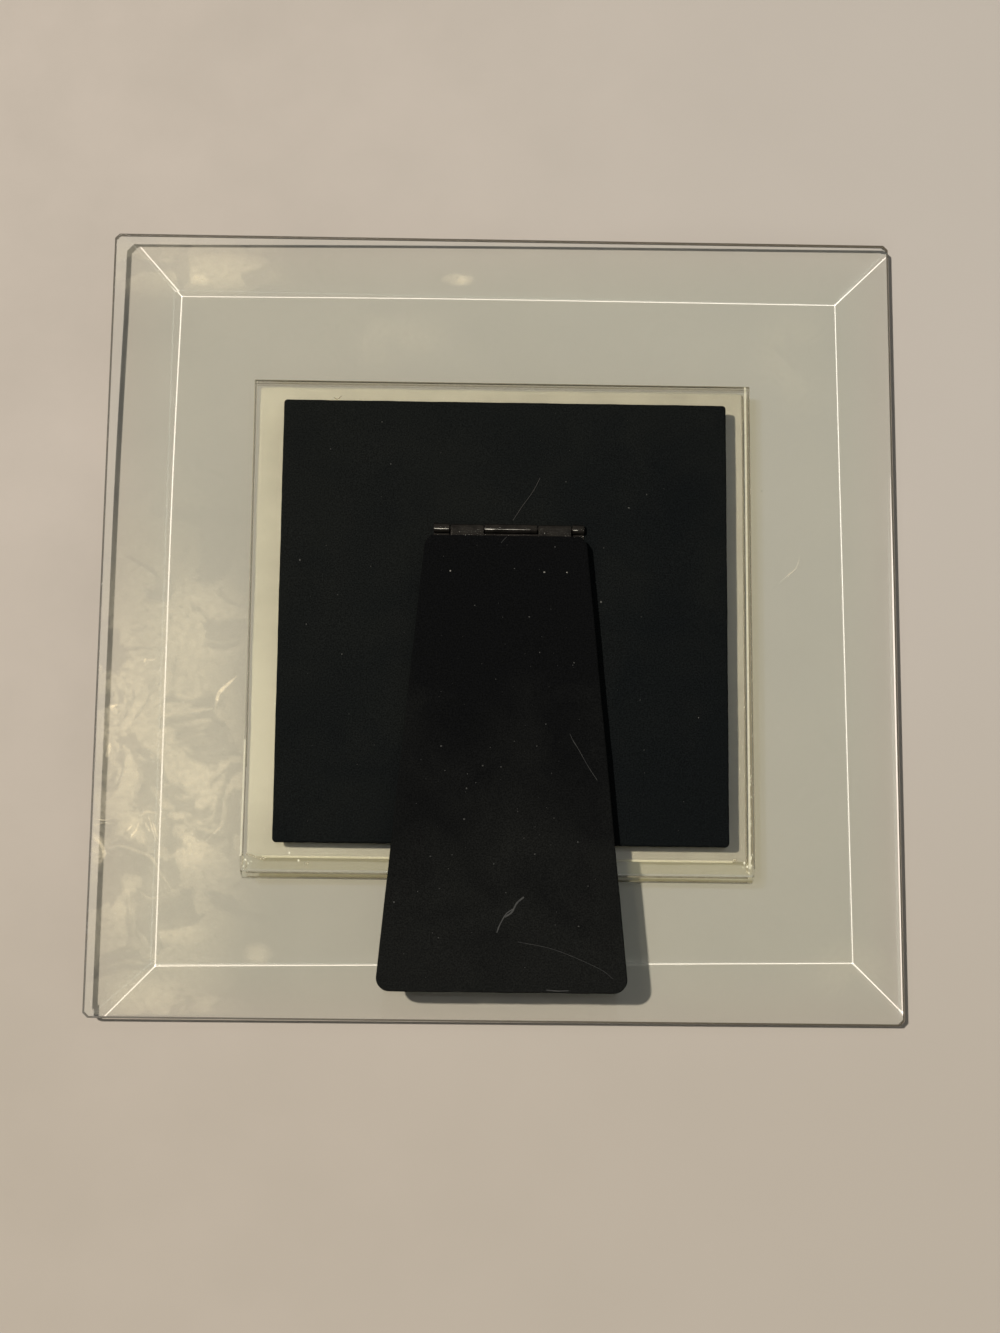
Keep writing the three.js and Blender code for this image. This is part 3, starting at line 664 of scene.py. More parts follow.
def pressure_film(settings):
    """Clear mounting adhesive. It has yellowed and clouded in a border about 10 mm wide, where air reached
    it, and stays nearly clear over the photo. Tiny bubbles of 0.2 mm are left in it. Its colour is painted
    lighter to the left and darker towards the right and the fold, as light and shade fall there."""
    material, tree = started("yellowed_mounting_film")
    place = add(tree, "TexCoord").outputs["Object"]
    cloud = add(tree, "TexNoise", {"Vector": place, "Scale": 1 / (11 * MM), "Detail": 6.0, "Roughness": 0.6})
    bubbles = add(tree, "TexVoronoi", {"Vector": place, "Scale": 1 / (2.6 * MM)})
    dot = add(tree, "MapRange", [bubbles, 0.03, 0.12, 0.1, 0.0])
    aged, inland = (add(tree, "Attribute", attribute_name=mark).outputs["Fac"] for mark in ("aged", "inland"))
    drift = add(tree, "MapRange", [cloud, 0.3, 0.7, -0.15, 0.15])
    # Painted shade: the film is painted darker towards the right and the fold, and lighter to the left
    share = add(tree, "Math", [aged, drift], operation="ADD", use_clamp=True)
    tones = {MIX_FACTOR: share, MIX_A: settings.film_lit, MIX_B: settings.film_shaded}
    shade = add(tree, "Mix", tones, data_type="RGBA")
    veil = add(tree, "MapRange", [inland, 9.0, 13.0, settings.film_border, settings.film_window])
    cover = add(tree, "Math", [veil, dot], operation="ADD", use_clamp=True)
    inputs = {"Base Color": shade, "Roughness": 0.55, "Specular IOR Level": 0.1, "Alpha": cover}
    return finished(material, inputs, settings.film_pass)


def mark(name, parts, finish, dark, light, grain, rough, alpha, mirror=0.5):
    """A fine mark in the acrylic that lamps shine past, such as a sawn edge or a craze line, of two
    colours, with its grain in millimetres, its roughness, how much it hides and how it mirrors."""
    surface = {"Roughness": rough, "Alpha": alpha, "Specular IOR Level": mirror}
    material = grained(finish, dark, linear(light), grain * MM, surface, lamps=ALL_LIGHT)
    piece_from(name, parts, material, "frame", "clear_acrylic")


def edge_lines(rows):
    """Thin flat lines, from rows of x, y, end x, end y, z and width, in millimetres."""
    paths = [np.linspace((x, y, z), (end_x, end_y, z), 30) for x, y, end_x, end_y, z, _ in rows]
    return [bead(path * MM, row[-1] * MM, 0.06 * MM) for path, row in zip(paths, rows)]


class PocketSettings(bpy.types.PropertyGroup):
    """Sizes and colours of the slip-in pocket and the film under it."""

    acrylic_take: colour("Acrylic colour", "What thick acrylic leaves of white light", "fbf4dc")
    lamp_pass: colour("Lamp light passed", "Share of the lamp's light past each face", "fbfaf6")
    sheet: length("Sheet", "Thickness of the acrylic sheet", 2.0, 0.5, 4.0)
    edge_round: length("Edge rounding", "Radius of the polished edges", 0.25, 0.05, 0.9)
    fold_ear: length("Fold ear", "How far the hot fold swells at each end", 0.3, 0.0, 1.5)
    fold_round: length("Fold rounding", "How far the fold's ends are rounded off", 0.7, 0.0, 2.5)
    # Painted shade and painted light of the film
    film_shaded: colour("Film, dark", "Film towards the fold and the right", "b0aa9c")
    film_lit: colour("Film, light", "Film towards the left edge", "ded9ca")
    film_pass: colour("Film, lamp light passed", "Share of the lamp's light past the film", "e4e0d0")
    film_border: number("Border cover", "How much the film's clouded border hides", 0.78, 0.06)
    film_window: number("Window cover", "How much the film hides over the photo", 0.06, 0.0, 0.9)
    edge_light: colour("Edge, light", "Lit grain of the sawn edges", "e9e2cb")
    fold_reach: length("Fold reach", "How far the fold stands out past its plain form", 0.4, 0.0, 1.0)
    haze: colour("Fold haze", "Colour of the bend's cloudiness", "e6dfb4")
    edge_dark: colour("Edge, dark", "Shaded grain of the sawn edges", "5c5038")


class FRAME_OT_pocket(bpy.types.Operator):
    """Make the folded acrylic pocket, its sawn edges and the mounting film under it"""

    bl_idname = "photo_frame.pocket"
    bl_label = "Photo Pocket"

    def execute(self, context):
        settings = context.scene.frame_pocket
        fold_start = POCKET_LOW.y + POCKET_HALF

        def ends(line):
            """What the fold adds to the half width: a swelling just before it, and a rounding."""
            swell = np.exp(-(((line[:, 0] - fold_start - 2.2 * MM) / (2.2 * MM)) ** 2))
            turned = np.clip((fold_start - line[:, 0]) / (2.8 * MM), 0, 1)
            return settings.fold_ear * swell - settings.fold_round * turned**3

        line = self.middle_line(settings)
        shell = bent_sheet(line, settings.sheet, POCKET_LOW.x, POCKET_HIGH.x, settings.edge_round, ends)
        # Clear acrylic sheet, a little yellowed
        clear = settings.acrylic_take, ACRYLIC_DENSITY, settings.lamp_pass
        sheet = clear_solid("clear_acrylic_sheet", ACRYLIC_IOR, *clear)
        tie = ("frame", "clear_acrylic", "acrylic_pocket")
        piece_from("pocket_folded_sheet", [shell], sheet, *tie, crease=50)
        self.edges(settings, line, ends(line))
        self.flaws()
        self.film(settings)
        return {"FINISHED"}

    def middle_line(self, settings):
        """The middle of the folded sheet in Y and Z: along the front sheet, round the fold, and back."""
        middle = POCKET_HALF - settings.sheet / 2
        centre_y, centre_z = POCKET_LOW.y + POCKET_HALF - settings.fold_reach, POCKET_LOW.z + POCKET_HALF
        turn = np.linspace(-np.pi / 2, np.pi / 2, 33)
        arc = np.column_stack([centre_y - middle * np.cos(turn), centre_z + middle * np.sin(turn)])
        front = np.linspace((POCKET_HIGH.y, centre_z - middle), arc[0], 12)[:-1]
        back = np.linspace(arc[-1], (POCKET_HIGH.y, centre_z + middle), 12)[1:]
        return np.concatenate([front, arc, back])

    def edges(self, settings, line, reach):
        """The edges of the sheet, sawn and left matt, and the fine lines that outline them: painted
        highlights where the edges catch light, and painted shade where they turn from it.
        """
        walls = [np.column_stack([x, line]) for x in (WALL_X[0] - reach, WALL_X[1] + reach)]
        # Places of the lines, in millimetres
        (x0, low_y, foot_z), (x1, y, top_z) = np.array(POCKET_LOW) / MM, np.array(POCKET_HIGH) / MM
        y, top_z, foot_z, film_y = y - EDGE_SKIN / MM, top_z - 0.12, foot_z + 0.12, FILM_LOW.y / MM
        # Where the lines along the sides end, short of the fold
        side_y, left_y = low_y + 3, low_y + 5
        # Painted highlights: pale lines along the left side, the right side and the film's lower edge
        glints = [
            (x0 + 0.3, -33, x0 + 0.1, left_y, top_z, 0.42),
            (x1 - 1.2, y, x1 - 1.2, side_y, top_z, 0.55),
            (x0 + 5, film_y, x1 - 5, film_y, foot_z, 0.55),
        ]
        # Painted shade: dark lines along the opening, the sides and the fold
        lines = [
            (x0 + 0.2, y, x1 - 0.2, y, top_z, 0.26),
            (x1 - 0.4, y, x1 - 0.1, side_y, top_z, 0.45),
            (x0 + 0.35, y, x0 + 0.75, -40, top_z, 0.42),
            (x0 + 0.75, -36, x0 + 0.6, left_y, top_z, 0.2),
            (x1 - 1.7, y - 1.4, x1 - 1.7, side_y, foot_z, 0.4),
        ]
        # Two painted shade lines under the fold's outer face, this far in from its outermost line
        for depth, wide in ((0.25 * MM, 0.4), (1.25 * MM, 0.45)):
            cosine, radius = 1 - depth / POCKET_HALF, POCKET_HALF - EDGE_SKIN
            line_y = POCKET_LOW.y + POCKET_HALF - settings.fold_reach - radius * cosine
            line_z = POCKET_LOW.z + POCKET_HALF + radius * math.sqrt(1 - cosine**2)
            lines.append((x0 + 1.6, line_y / MM, x1 - 1.6, line_y / MM, line_z / MM, wide))
        skins = [bead(wall, 1.5 * MM, 0.04 * MM, (1, 0, 0), 8, 0.4) for wall in walls] + edge_lines(glints)
        shades, band = edge_lines(lines), edge_lines([(x0 + 0.8, y - 0.95, x1 - 0.8, y - 0.95, top_z, 1.3)])
        bend = line[line[:, 0] < FILM_LOW.y + 0.1 * MM]
        bend = np.concatenate([[(FILM_LOW.y, bend[0, 1])], bend, [(FILM_LOW.y, bend[-1, 1])]])
        skin = bent_sheet(bend, 0.3 * MM, POCKET_LOW.x + 0.5 * MM, POCKET_HIGH.x - 0.5 * MM, 0.1 * MM)
        light, dark = settings.edge_light, settings.edge_dark
        for row in (
            # Sawn edges: matt and pale, partly painted light, with painted highlight lines where they catch
            # light, and painted shade lines, brownish, where they don't
            ("pocket_sawn_edges", skins, "sawn_acrylic_edge", light, "d6cfb4", 0.7, 0.6, 0.5, 0.2),
            ("pocket_edge_shades", shades, "shaded_acrylic_edge", dark, "7b745d", 0.9, 0.5, 0.62, 0.3),
            # Painted shade: a faint grey band along the opening, where its wall is seen through the sheet
            ("pocket_opening_shade", band, "dim_acrylic_edge", dark, "7b745d", 0.9, 0.5, 0.22, 0.2),
            # Heat has clouded the bend: a thin yellowish veil
            ("pocket_fold_haze", [skin], "heat_clouded_acrylic", settings.haze, "d6cf9f", 6, 0.7, 0.035, 0.1),
        ):
            mark(*row)

    def flaws(self):
        """Craze lines and blisters where the sheet was heated for the fold."""
        crazes, _ = strokes(CRAZES, CRAZE_HEIGHT)
        rng = np.random.default_rng(5)
        along = rng.uniform(-62.5, -38, SMALL_BLISTERS)
        scattered = np.column_stack([rng.normal(63.3, 0.15, SMALL_BLISTERS), along])
        blisters = np.array(BLISTERS)
        places = np.concatenate([blisters[:, :2], scattered]) * MM
        sizes = np.concatenate([blisters[:, 2], rng.uniform(0.08, 0.2, SMALL_BLISTERS)]) * MM
        balls = specks(at_height(places, BLISTER_HEIGHT), sizes[:, None] * (1, 1.3, 0.5))
        # Crazes are brownish hairlines, and blisters scatter light and look white
        mark("pocket_craze_lines", crazes, "crazed_acrylic", linear("84795c"), "a3987a", 1.1, 0.5, 0.55)
        mark("pocket_blisters", [balls], "acrylic_blisters", linear("e8e2cc"), "fbf7e6", 0.5, 0.3, 0.7)

    def film(self, settings):
        """The film with its wavering edge. For every point of it, `inland` is the distance to its edge in
        millimetres, and a second number is painted shade: it grows from the upper left to the lower right,
        with a painted lighter patch at the left."""
        gap, skin = 0.01 * MM, 0.08 * MM
        profile = [(0.1 * MM, FILM_HIGH.z - gap), (0, FILM_HIGH.z - skin)]
        profile += [(0, FILM_LOW.z + skin), (0.1 * MM, FILM_LOW.z + gap)]
        plan = rectangle(FILM_LOW, FILM_HIGH - FILM_TRIM)
        shell = slab(plan, FILM_ROUND, profile, FILM_WAVER, FILM_WAVE, side_steps=60)
        x, y = shell[0][:, 0], shell[0][:, 1]
        # Painted light and shade of the film: lighter in a patch at the left, darker towards the lower right
        lit_patch = np.array([(x + 61 * MM) / (9 * MM), (y + 30 * MM) / (24 * MM)])
        edge = np.minimum.reduce([x - FILM_LOW.x, FILM_HIGH.x - x, y - FILM_LOW.y, FILM_HIGH.y - y])
        inland = edge / MM + 1.2 * ripple(x, y, 17 * MM)
        aged = 0.62 + (0.2 * x - 0.14 * y) / (62 * MM) - 0.7 * np.exp(-(lit_patch**2).sum(0))
        tie = ("frame", "adhesive_film", "pocket_film")
        marks = {"inland": inland, "aged": aged}
        piece_from("pocket_mounting_film", [shell], pressure_film(settings), *tie, crease=60, marks=marks)


# Velvet

BOARD_LINT = [
    (-30.4, 48.8), (16.6, 33.7), (32.6, 27.1), (-39.3, -11.6), (25.6, 2.6), (35.4, -22.3), (-50.4, 12.4),
]
# A hair on the board: points in millimetres, width
BOARD_HAIR = [([(10.0, 34.6), (8.2, 31.0), (5.6, 27.2), (3.2, 23.4)], 0.11)]
COVER_WAVE, COVER_HEAVE = 19 * MM, 0.04 * MM
BOARD_WAVER, LEG_WAVER = 0.05 * MM, 0.07 * MM
BOARD_SHOULDER, LEG_SHOULDER = 0.6 * MM, 0.4 * MM  # how softly a cover's edge is rounded
BOARD_HEM = Vector((0, 0.35 * MM, 0))  # how far the cloth stands out at the board's upper edge
# Where the wear of the pile starts and where it is full, in millimetres
BOARD_WEAR = (45, -30, 14), (-45, 40, 14)
LEG_WEAR = (0, -20, 19), (0, -85, 19)
# How many specks of fine lint there are, and the seed of their places
BOARD_FINE_LINT, LEG_FINE_LINT = (50, 11), (90, 23)
# How high over the cloth lint and hairs lie, and how thick the hairs are
LINT_RISE, BOARD_HAIR_RISE, LEG_HAIR_RISE = 0.05 * MM, 0.08 * MM, 0.07 * MM
BOARD_HAIR_THICK, LEG_HAIR_THICK = 0.09 * MM, 0.08 * MM


def velvet(name, tone, worn, wear_from, wear_to):
    """Flocked velvet, black: short upright pile that swallows light, a little greyer where it is
    pressed or worn, with a soft sheen at a low angle. The wear grows from one point of the cloth to
    another. The pile is 0.1 mm, drawn at 0.35 mm."""
    material, tree = started(name)
    place = add(tree, "TexCoord").outputs["Object"]
    pile = add(tree, "TexNoise", {"Vector": place, "Scale": 1 / (0.35 * MM), "Detail": 3.0})
    nap = add(tree, "TexNoise", {"Vector": place, "Scale": 1 / (16 * MM), "Detail": 5.0, "Distortion": 0.6})
    start = np.array(wear_from) * MM
    step = np.array(wear_to) * MM - start
    from_start = add(tree, "VectorMath", [place, tuple(start)], operation="SUBTRACT")
    wear = add(tree, "VectorMath", [from_start, tuple(step / (step**2).sum())], operation="DOT_PRODUCT")
    drift = add(tree, "MapRange", [nap, 0.3, 0.7, -0.35, 0.35])
    share = add(tree, "Math", [wear, drift], operation="ADD", use_clamp=True)
    fleck = add(tree, "MapRange", [pile, 0.35, 0.7, 0.55, 1.5])
    shade = add(tree, "Mix", {MIX_FACTOR: share, MIX_A: tone, MIX_B: worn}, data_type="RGBA")
    flecked = add(tree, "VectorMath", {0: shade, "Scale": fleck}, operation="SCALE")
    relief = add(tree, "Bump", {"Height": pile, "Strength": 0.6, "Distance": 0.15 * MM})
    sheen = {"Sheen Weight": 0.05, "Sheen Roughness": 0.35, "Sheen Tint": linear("8a8780")}
    inputs = {"Base Color": flecked, "Roughness": 0.95, "Specular IOR Level": 0.04, **sheen, "Normal": relief}
    return finished(material, inputs)


def cover_profile(low, high, cloth, shoulder):
    """Insets and heights round the edge of a velvet cover: over its soft shoulder, down the edge,
    round the turned hem and back up inside."""
    turn, hem = np.linspace(0, np.pi / 2, 8), cloth / 2
    outer = [(shoulder * (1 - math.sin(a)), high - shoulder * (1 - math.cos(a))) for a in turn]
    fold = [(hem - hem * math.cos(a), low + hem - hem * math.sin(a)) for a in np.linspace(0, np.pi, 9)]
    return [*outer, *fold, (cloth, high - cloth)]


def lint(owner, body, light, places, height, count, seed, area):
    """Grey lint and skin dust on velvet, specks of 0.1 to 0.5 mm: the larger ones at their places in
    millimetres, and `count` fine ones at seeded random places of an area given by rows of y, left x
    and right x."""
    rng = np.random.default_rng(seed)
    rows = np.array(area, float)
    y = rng.uniform(rows[:, 0].min(), rows[:, 0].max(), count)
    left, right = (np.interp(y, rows[::-1, 0], rows[::-1, k]) for k in (1, 2))
    x = left + (right - left) * rng.uniform(0.03, 0.97, count)
    plan = np.concatenate([np.array(places, float), np.column_stack([x, y])]) * MM
    sizes = np.concatenate([rng.uniform(0.11, 0.2, len(places)), 0.05 + 0.09 * rng.random(count) ** 3])
    stretch = [rng.uniform(0.7, 1.6, len(sizes)), rng.uniform(0.7, 1.6, len(sizes)), np.full(len(sizes), 0.6)]
    dust = specks(at_height(plan, height), sizes[:, None] * MM * np.column_stack(stretch))
    grey = grained(f"grey_{owner}_lint", linear("2b2a27"), linear(light), 0.4 * MM, {"Roughness": 0.9})
    piece_from(f"{owner}_lint", [dust], grey, body, "black_velvet")


class VelvetSettings(bpy.types.PropertyGroup):
    """Sizes and colours of the velvet on the board and the leg."""

    board_tone: colour("Board velvet", "Colour of the board's velvet", "101212")
    board_worn: colour("Board velvet, worn", "Colour of its pressed pile", "171816")
    leg_tone: colour("Leg velvet", "Colour of the leg's velvet", "0c0c0c")
    leg_worn: colour("Leg velvet, worn", "Colour of its pressed pile", "181816")
    board_round: length("Board corner", "Radius of the board's corners", 0.9, 0.2, 20.0)
    board_cloth: length("Board cloth", "Thickness of the board's velvet", 0.5, 0.1, 1.5)
    leg_cloth: length("Leg cloth", "Thickness of the leg's velvet", 0.4, 0.1, 1.5)


class FRAME_OT_board(bpy.types.Operator):
    """Make the board's velvet cover and foam tapes, and the finish of the layers between"""

    bl_idname = "photo_frame.board"
    bl_label = "Velvet Board"

    def execute(self, context):
        settings = context.scene.frame_velvet
        low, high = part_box("board_velvet")
        top = high.z - COVER_HEAVE
        plan = rectangle(low, high + BOARD_HEM)
        profile = cover_profile(low.z, top, settings.board_cloth, BOARD_SHOULDER)
        shell = slab(plan, settings.board_round, profile, BOARD_WAVER, COVER_WAVE, COVER_HEAVE, 90)
        cloth = velvet("black_flocked_velvet", settings.board_tone, settings.board_worn, *BOARD_WEAR)
        piece_from("board_velvet_cover", [shell], cloth, "frame", "black_velvet", "board_velvet", crease=70)
        left, right = low.x / MM + 2, high.x / MM - 2
        area = [(high.y / MM - 2, left, right), (low.y / MM + 2, left, right)]
        lint("board", "frame", "6b6860", BOARD_LINT, top + LINT_RISE, *BOARD_FINE_LINT, area)
        brown = grained("brown_hair", linear("27231e"), linear("3d372e"), 2 * MM, {"Roughness": 0.6})
        strand = hairs(BOARD_HAIR, top + BOARD_HAIR_RISE, BOARD_HAIR_THICK)
        piece_from("board_hair", strand, brown, "frame", "black_velvet")
        self.tapes()
        self.layers()
        return {"FINISHED"}

    def tapes(self):
        """Two strips of foam tape. Their edges bulge a little under the board's weight."""
        surface = {"Roughness": 0.95, "Specular IOR Level": 0.1}
        foam = grained("black_foam_tape", linear("1f1f1f"), linear("353432"), 0.5 * MM, surface, 0.1 * MM)
        for side in ("left", "right"):
            node = f"board_tape_{side}"
            low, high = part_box(node)
            depth = high.z - low.z
            turn = np.linspace(-0.5, 0.5, 9)
            profile = [(0.3 * depth * (2 * t) ** 2, high.z - (0.5 + t) * depth) for t in turn]
            shell = slab(rectangle(low, high), 0.5 * MM, profile, 0.08 * MM, 9 * MM, side_steps=50)
            piece_from(f"foam_tape_{side}", [shell], foam, "frame", "foam_tape", node, crease=70)

    def layers(self):
        """The finish of the plain layers of board and leg: grey board with a matt grain, smooth black
        liner paper and soft black flocked paper."""
        for name, dark, light, grain, rough, mirror, bump, nodes in (
            ("uncoated_greyboard", "82796b", "9a917f", 1.2, 0.95, 0.2, 0.05, ("board_core", "leg_core")),
            ("black_liner_paper", "171614", "23221f", 0.8, 0.9, 0.25, 0.03, ("board_liner",)),
            ("black_flocked_paper", "121212", "1e1e1d", 0.5, 1.0, 0.05, 0.06, ("leg_liner",)),
        ):
            surface = {"Roughness": rough, "Specular IOR Level": mirror}
            finish = grained(name, linear(dark), linear(light), grain * MM, surface, bump * MM)
            for node in nodes:
                dress(node, finish)


# Hinge and staples

PIN_LOW, PIN_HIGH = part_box("hinge_pin")
AXIS = np.array((PIN_LOW + PIN_HIGH) / 2)[1:]  # the pin's middle line, in Y and Z
PIN_WIDTH = 1.1 * MM
BORE_RADIUS = 0.65 * MM
BOARD_LEAF_SHEET, LEG_LEAF_SHEET = 0.5 * MM, 0.4 * MM
LEAF_FILLET = 0.12 * MM
KNUCKLES = np.array([4, 8.3, 13.2, 8.3, 3]) * MM  # left to right, by turns on board and leg
KNUCKLE_GAP = 0.3 * MM
LEAF_REACH = 15 * MM
# How far from the pin, towards the frame's lower edge, a leaf's strips start and its flat plate ends
STRIP_START, PLATE_END = 2.6 * MM, 1.55 * MM
ROLL_END = 200  # degrees
PIN_LENGTH, PIN_DOME = 38, 0.3  # in millimetres
# Painted highlights along the crests of the board leaf's knuckles, where the lamp's reflection lies: left
# end, right end and width in millimetres, and their place in Y and Z
CREST_HIGHLIGHTS = [(-16.7, -13.0, 0.3), (-3.9, -1.3, 0.34), (-2.2, 7.6, 0.17), (18.4, 19.6, 0.28)]
CREST = AXIS + np.array([-0.38, 1.08]) * MM
# Painted glints: two small bright specks on the leg leaf's knuckles, and their size
GLINT_SPECKS, GLINT_SIZE = np.array([(-10.3, 19.75, 16.35), (11.2, 19.65, 16.35)]) * MM, 0.14 * MM
# Heights of a staple's crown, bend and tip
BOARD_STAPLE, LEG_STAPLE = (14.8 * MM, 11.36 * MM, 11.36 * MM), (15.5 * MM, 18.86 * MM, 18.5 * MM)


def rolled_leaf(side, sheet, own):
    """A hinge leaf under (side -1) or over (side 1) the pin: one flat plate, and from it a strip
    for each of its own knuckles that is rolled round the pin, a little unevenly."""
    middle = BORE_RADIUS + sheet / 2
    turn = np.linspace(-np.pi / 2, math.radians(ROLL_END), 44)
    roll = np.column_stack([middle * np.cos(turn), -side * middle * np.sin(turn)])
    strip = np.linspace((-STRIP_START, side * middle), roll[0], 6)[:-1]
    line = np.concatenate([strip, roll]) + AXIS
    parts = []
    for start, end in own:
        points, faces = bent_sheet(line, sheet, start, end, LEAF_FILLET)
        about = points[:, 1:] - AXIS
        dent = 0.045 * ripple(points[:, 0], 3 * about[:, 0] + 2 * about[:, 1], 7 * MM)
        points[:, 1:] += about * np.minimum(dent, 0.02)[:, None]
        parts.append((points, faces))
    flat = np.linspace((-LEAF_REACH, side * middle), (-PLATE_END, side * middle), 20) + AXIS
    return [*parts, bent_sheet(flat, sheet, own[0][0], own[-1][1], LEAF_FILLET)]


def staple(x, y, crown, bend, tip):
    """Flat wire bent to a staple about (x, y): from one tip to its prong, over the crown, and on
    to the other tip. The three heights are those of the wire's middle."""
    half, reach, turn, thick, wide = np.array([3.15, 1.35, 0.45, 0.42, 0.56]) * MM
    left = [(x - half + reach, y, tip), (x - half, y, bend), (x - half, y, crown)]
    right = [(x + half, y, crown), (x + half, y, bend), (x + half - reach, y, tip)]
    return bead(rounded_line(left + right, turn), thick, wide, (0, 1, 0), 12, 0.5)


class HingeSettings(bpy.types.PropertyGroup):
    """Colours of the hinge and the staples."""

    steel_dark: colour("Hinge, dark", "Bronzed parts of the hinge", "211e1b")
    steel_light: colour("Hinge, light", "Thinner bronzing of the hinge", "312d28")
    # Colour of the painted highlights on the knuckles' crests
    crest_highlight: colour("Hinge, worn", "Worn crests of the knuckles", "8d877c")
    wire: colour("Staple wire", "Colour of the staples", "4f4c46")
    roughness: number("Hinge roughness", "Roughness of the hinge", 0.16)


class FRAME_OT_hinge(bpy.types.Operator):
    """Make the two leaves of the hinge, its pin and the four staples that hold it"""

    bl_idname = "photo_frame.hinge"
    bl_label = "Hinge and Staples"

    def execute(self, context):
        settings = context.scene.frame_hinge
        starts = np.cumsum(np.append(0, KNUCKLES[:-1] + KNUCKLE_GAP)) + PIN_LOW.x
        spans = list(zip(starts, starts + KNUCKLES))
        # Steel darkened to bronze, half dulled, a little uneven where it was rolled
        tones = settings.steel_dark, settings.steel_light
        surface = {"Metallic": 0.5, "Roughness": settings.roughness, "Specular Tint": linear("9a958c")}
        steel = grained("bronzed_hinge_steel", *tones, 2.2 * MM, surface, 0.04 * MM)
        # Drawn wire, dull with a grey shine, and painted highlights of bright steel on the knuckles' crests
        dull, bright = {"Metallic": 1.0, "Roughness": 0.45}, {"Metallic": 1.0, "Roughness": 0.4}
        wire = grained("dull_staple_wire", settings.wire, linear("68645d"), 0.8 * MM, dull)
        crest_highlight = grained("burnished_steel", settings.crest_highlight, linear("a7a196"), 1.5 * MM, bright)
        leaf = rolled_leaf(-1, BOARD_LEAF_SHEET, spans[::2])
        piece_from("hinge_board_leaf", leaf, steel, "frame", "hinge_steel", "board_hinge_leaf")
        leaf = rolled_leaf(1, LEG_LEAF_SHEET, spans[1::2])
        piece_from("hinge_leg_leaf", leaf, steel, "leg", "hinge_steel", "leg_hinge_leaf")
        # Stations along the pin in millimetres, closer at its domed ends
        ends = np.array([0, 0.04, 0.12, 0.25])
        x = np.concatenate([ends, np.linspace(0.5, PIN_LENGTH - 0.5, 30), PIN_LENGTH - ends[::-1]])
        off_dome = (1 - np.minimum(x, PIN_LENGTH - x) / PIN_DOME).clip(0)
        dome = np.sqrt(np.clip(1 - off_dome**2, 0.02, 1))
        path = np.column_stack([PIN_LOW.x + x * MM, np.broadcast_to(AXIS, (len(x), 2))])
        rod = bead(path, PIN_WIDTH * dome, PIN_WIDTH * dome, sides=24)
        piece_from("hinge_pin_rod", [rod], steel, "frame", "hinge_steel", "hinge_pin")
        # Painted highlights along the knuckles' crests, and painted glints on the leg leaf
        swell = np.sin(np.linspace(0.3, np.pi - 0.3, 24)) ** 0.5
        crests = [
            bead(np.linspace((start * MM, *CREST), (end * MM, *CREST), 24), wide * MM * swell, 0.06 * MM)
            for start, end, wide in CREST_HIGHLIGHTS
        ]
        piece_from("hinge_worn_crests", crests, crest_highlight, "frame", "hinge_steel")
        hinge_glints = specks(GLINT_SPECKS, np.full(GLINT_SPECKS.shape, GLINT_SIZE))
        piece_from("hinge_leaf_burrs", [hinge_glints], crest_highlight, "leg", "hinge_steel")
        for body, owner, heights in (("frame", "board", BOARD_STAPLE), ("leg", "leg", LEG_STAPLE)):
            for side in ("left", "right"):
                node = f"{owner}_staple_{side}"
                low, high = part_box(node)
                shape = staple((low.x + high.x) / 2, (low.y + high.y) / 2, *heights)
                piece_from(f"{owner}_wire_staple_{side}", [shape], wire, body, "staple_wire", node)
        return {"FINISHED"}


# Easel leg

LEG_LOW, LEG_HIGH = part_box("leg_velvet")
LEG_SHOULDER_DROP = 2.1 * MM
LEG_TOP_WIDTH = 37.9 * MM
LEG_SHOULDER_WIDTH = 40.8 * MM
LEG_END_WIDTH = 61.6 * MM  # between the free end's corners, before they are rounded
LEG_END_TRIM = 0.25 * MM  # the cloth is drawn thin over the free end
LEG_RADII = np.array([3.2, 3.2, 2, 0.8, 0.8, 2]) * MM  # of its corners, from the free end's left one round
LEG_LINT = [
    (0.7, -40.3), (-7.7, -45.7), (-7.9, -46.6), (-8.2, -53.3), (11.7, -29.5), (18.3, -14.6), (18.6, -14.0),
    (-14.1, -35.3), (-0.8, -64.2), (9.2, -61.7), (13.8, -52.8), (6.5, -57.8), (19.7, -58.6), (-25.0, -73.8),
    (9.5, -35.0), (-16.3, -62.5), (-11.0, -62.1), (-14.1, -82.3), (2.2, -71.2),
]
# Hairs and fluff on the leg: points in millimetres, width
LEG_HAIRS = [
    ([(18.2, -33.1), (19.9, -35.9), (22.1, -39.8), (24.4, -43.3)], 0.12),
    ([(17.6, -31.8), (18.6, -33.9), (19.2, -34.8)], 0.1),
    ([(1.6, 17.9), (0.9, 17.2), (0.2, 16.3)], 0.1),
    ([(6.6, -72.2), (4.9, -73.7), (3.7, -75.9), (2.0, -77.1)], 0.4),
    ([(3.9, -75.2), (2.3, -76.4), (0.8, -79.0), (0.1, -80.9)], 0.3),
    ([(5.3, -83.1), (14.2, -84.9), (24.7, -89.2), (28.4, -91.8)], 0.1),
    ([(12.2, -94.6), (15.0, -94.8), (17.6, -94.7)], 0.25),
]


def leg_corners():
    """The leg's outline in plan, counter-clockwise from its free end's left corner."""
    middle, end = (LEG_LOW.x + LEG_HIGH.x) / 2, (LEG_END_WIDTH, LEG_LOW.y + LEG_END_TRIM)
    shoulder, top = (LEG_SHOULDER_WIDTH, LEG_HIGH.y - LEG_SHOULDER_DROP), (LEG_TOP_WIDTH, LEG_HIGH.y)
    rows = [(-1, end), (1, end), (1, shoulder), (1, top), (-1, top), (-1, shoulder)]
    return [(middle + side * width / 2, y) for side, (width, y) in rows]


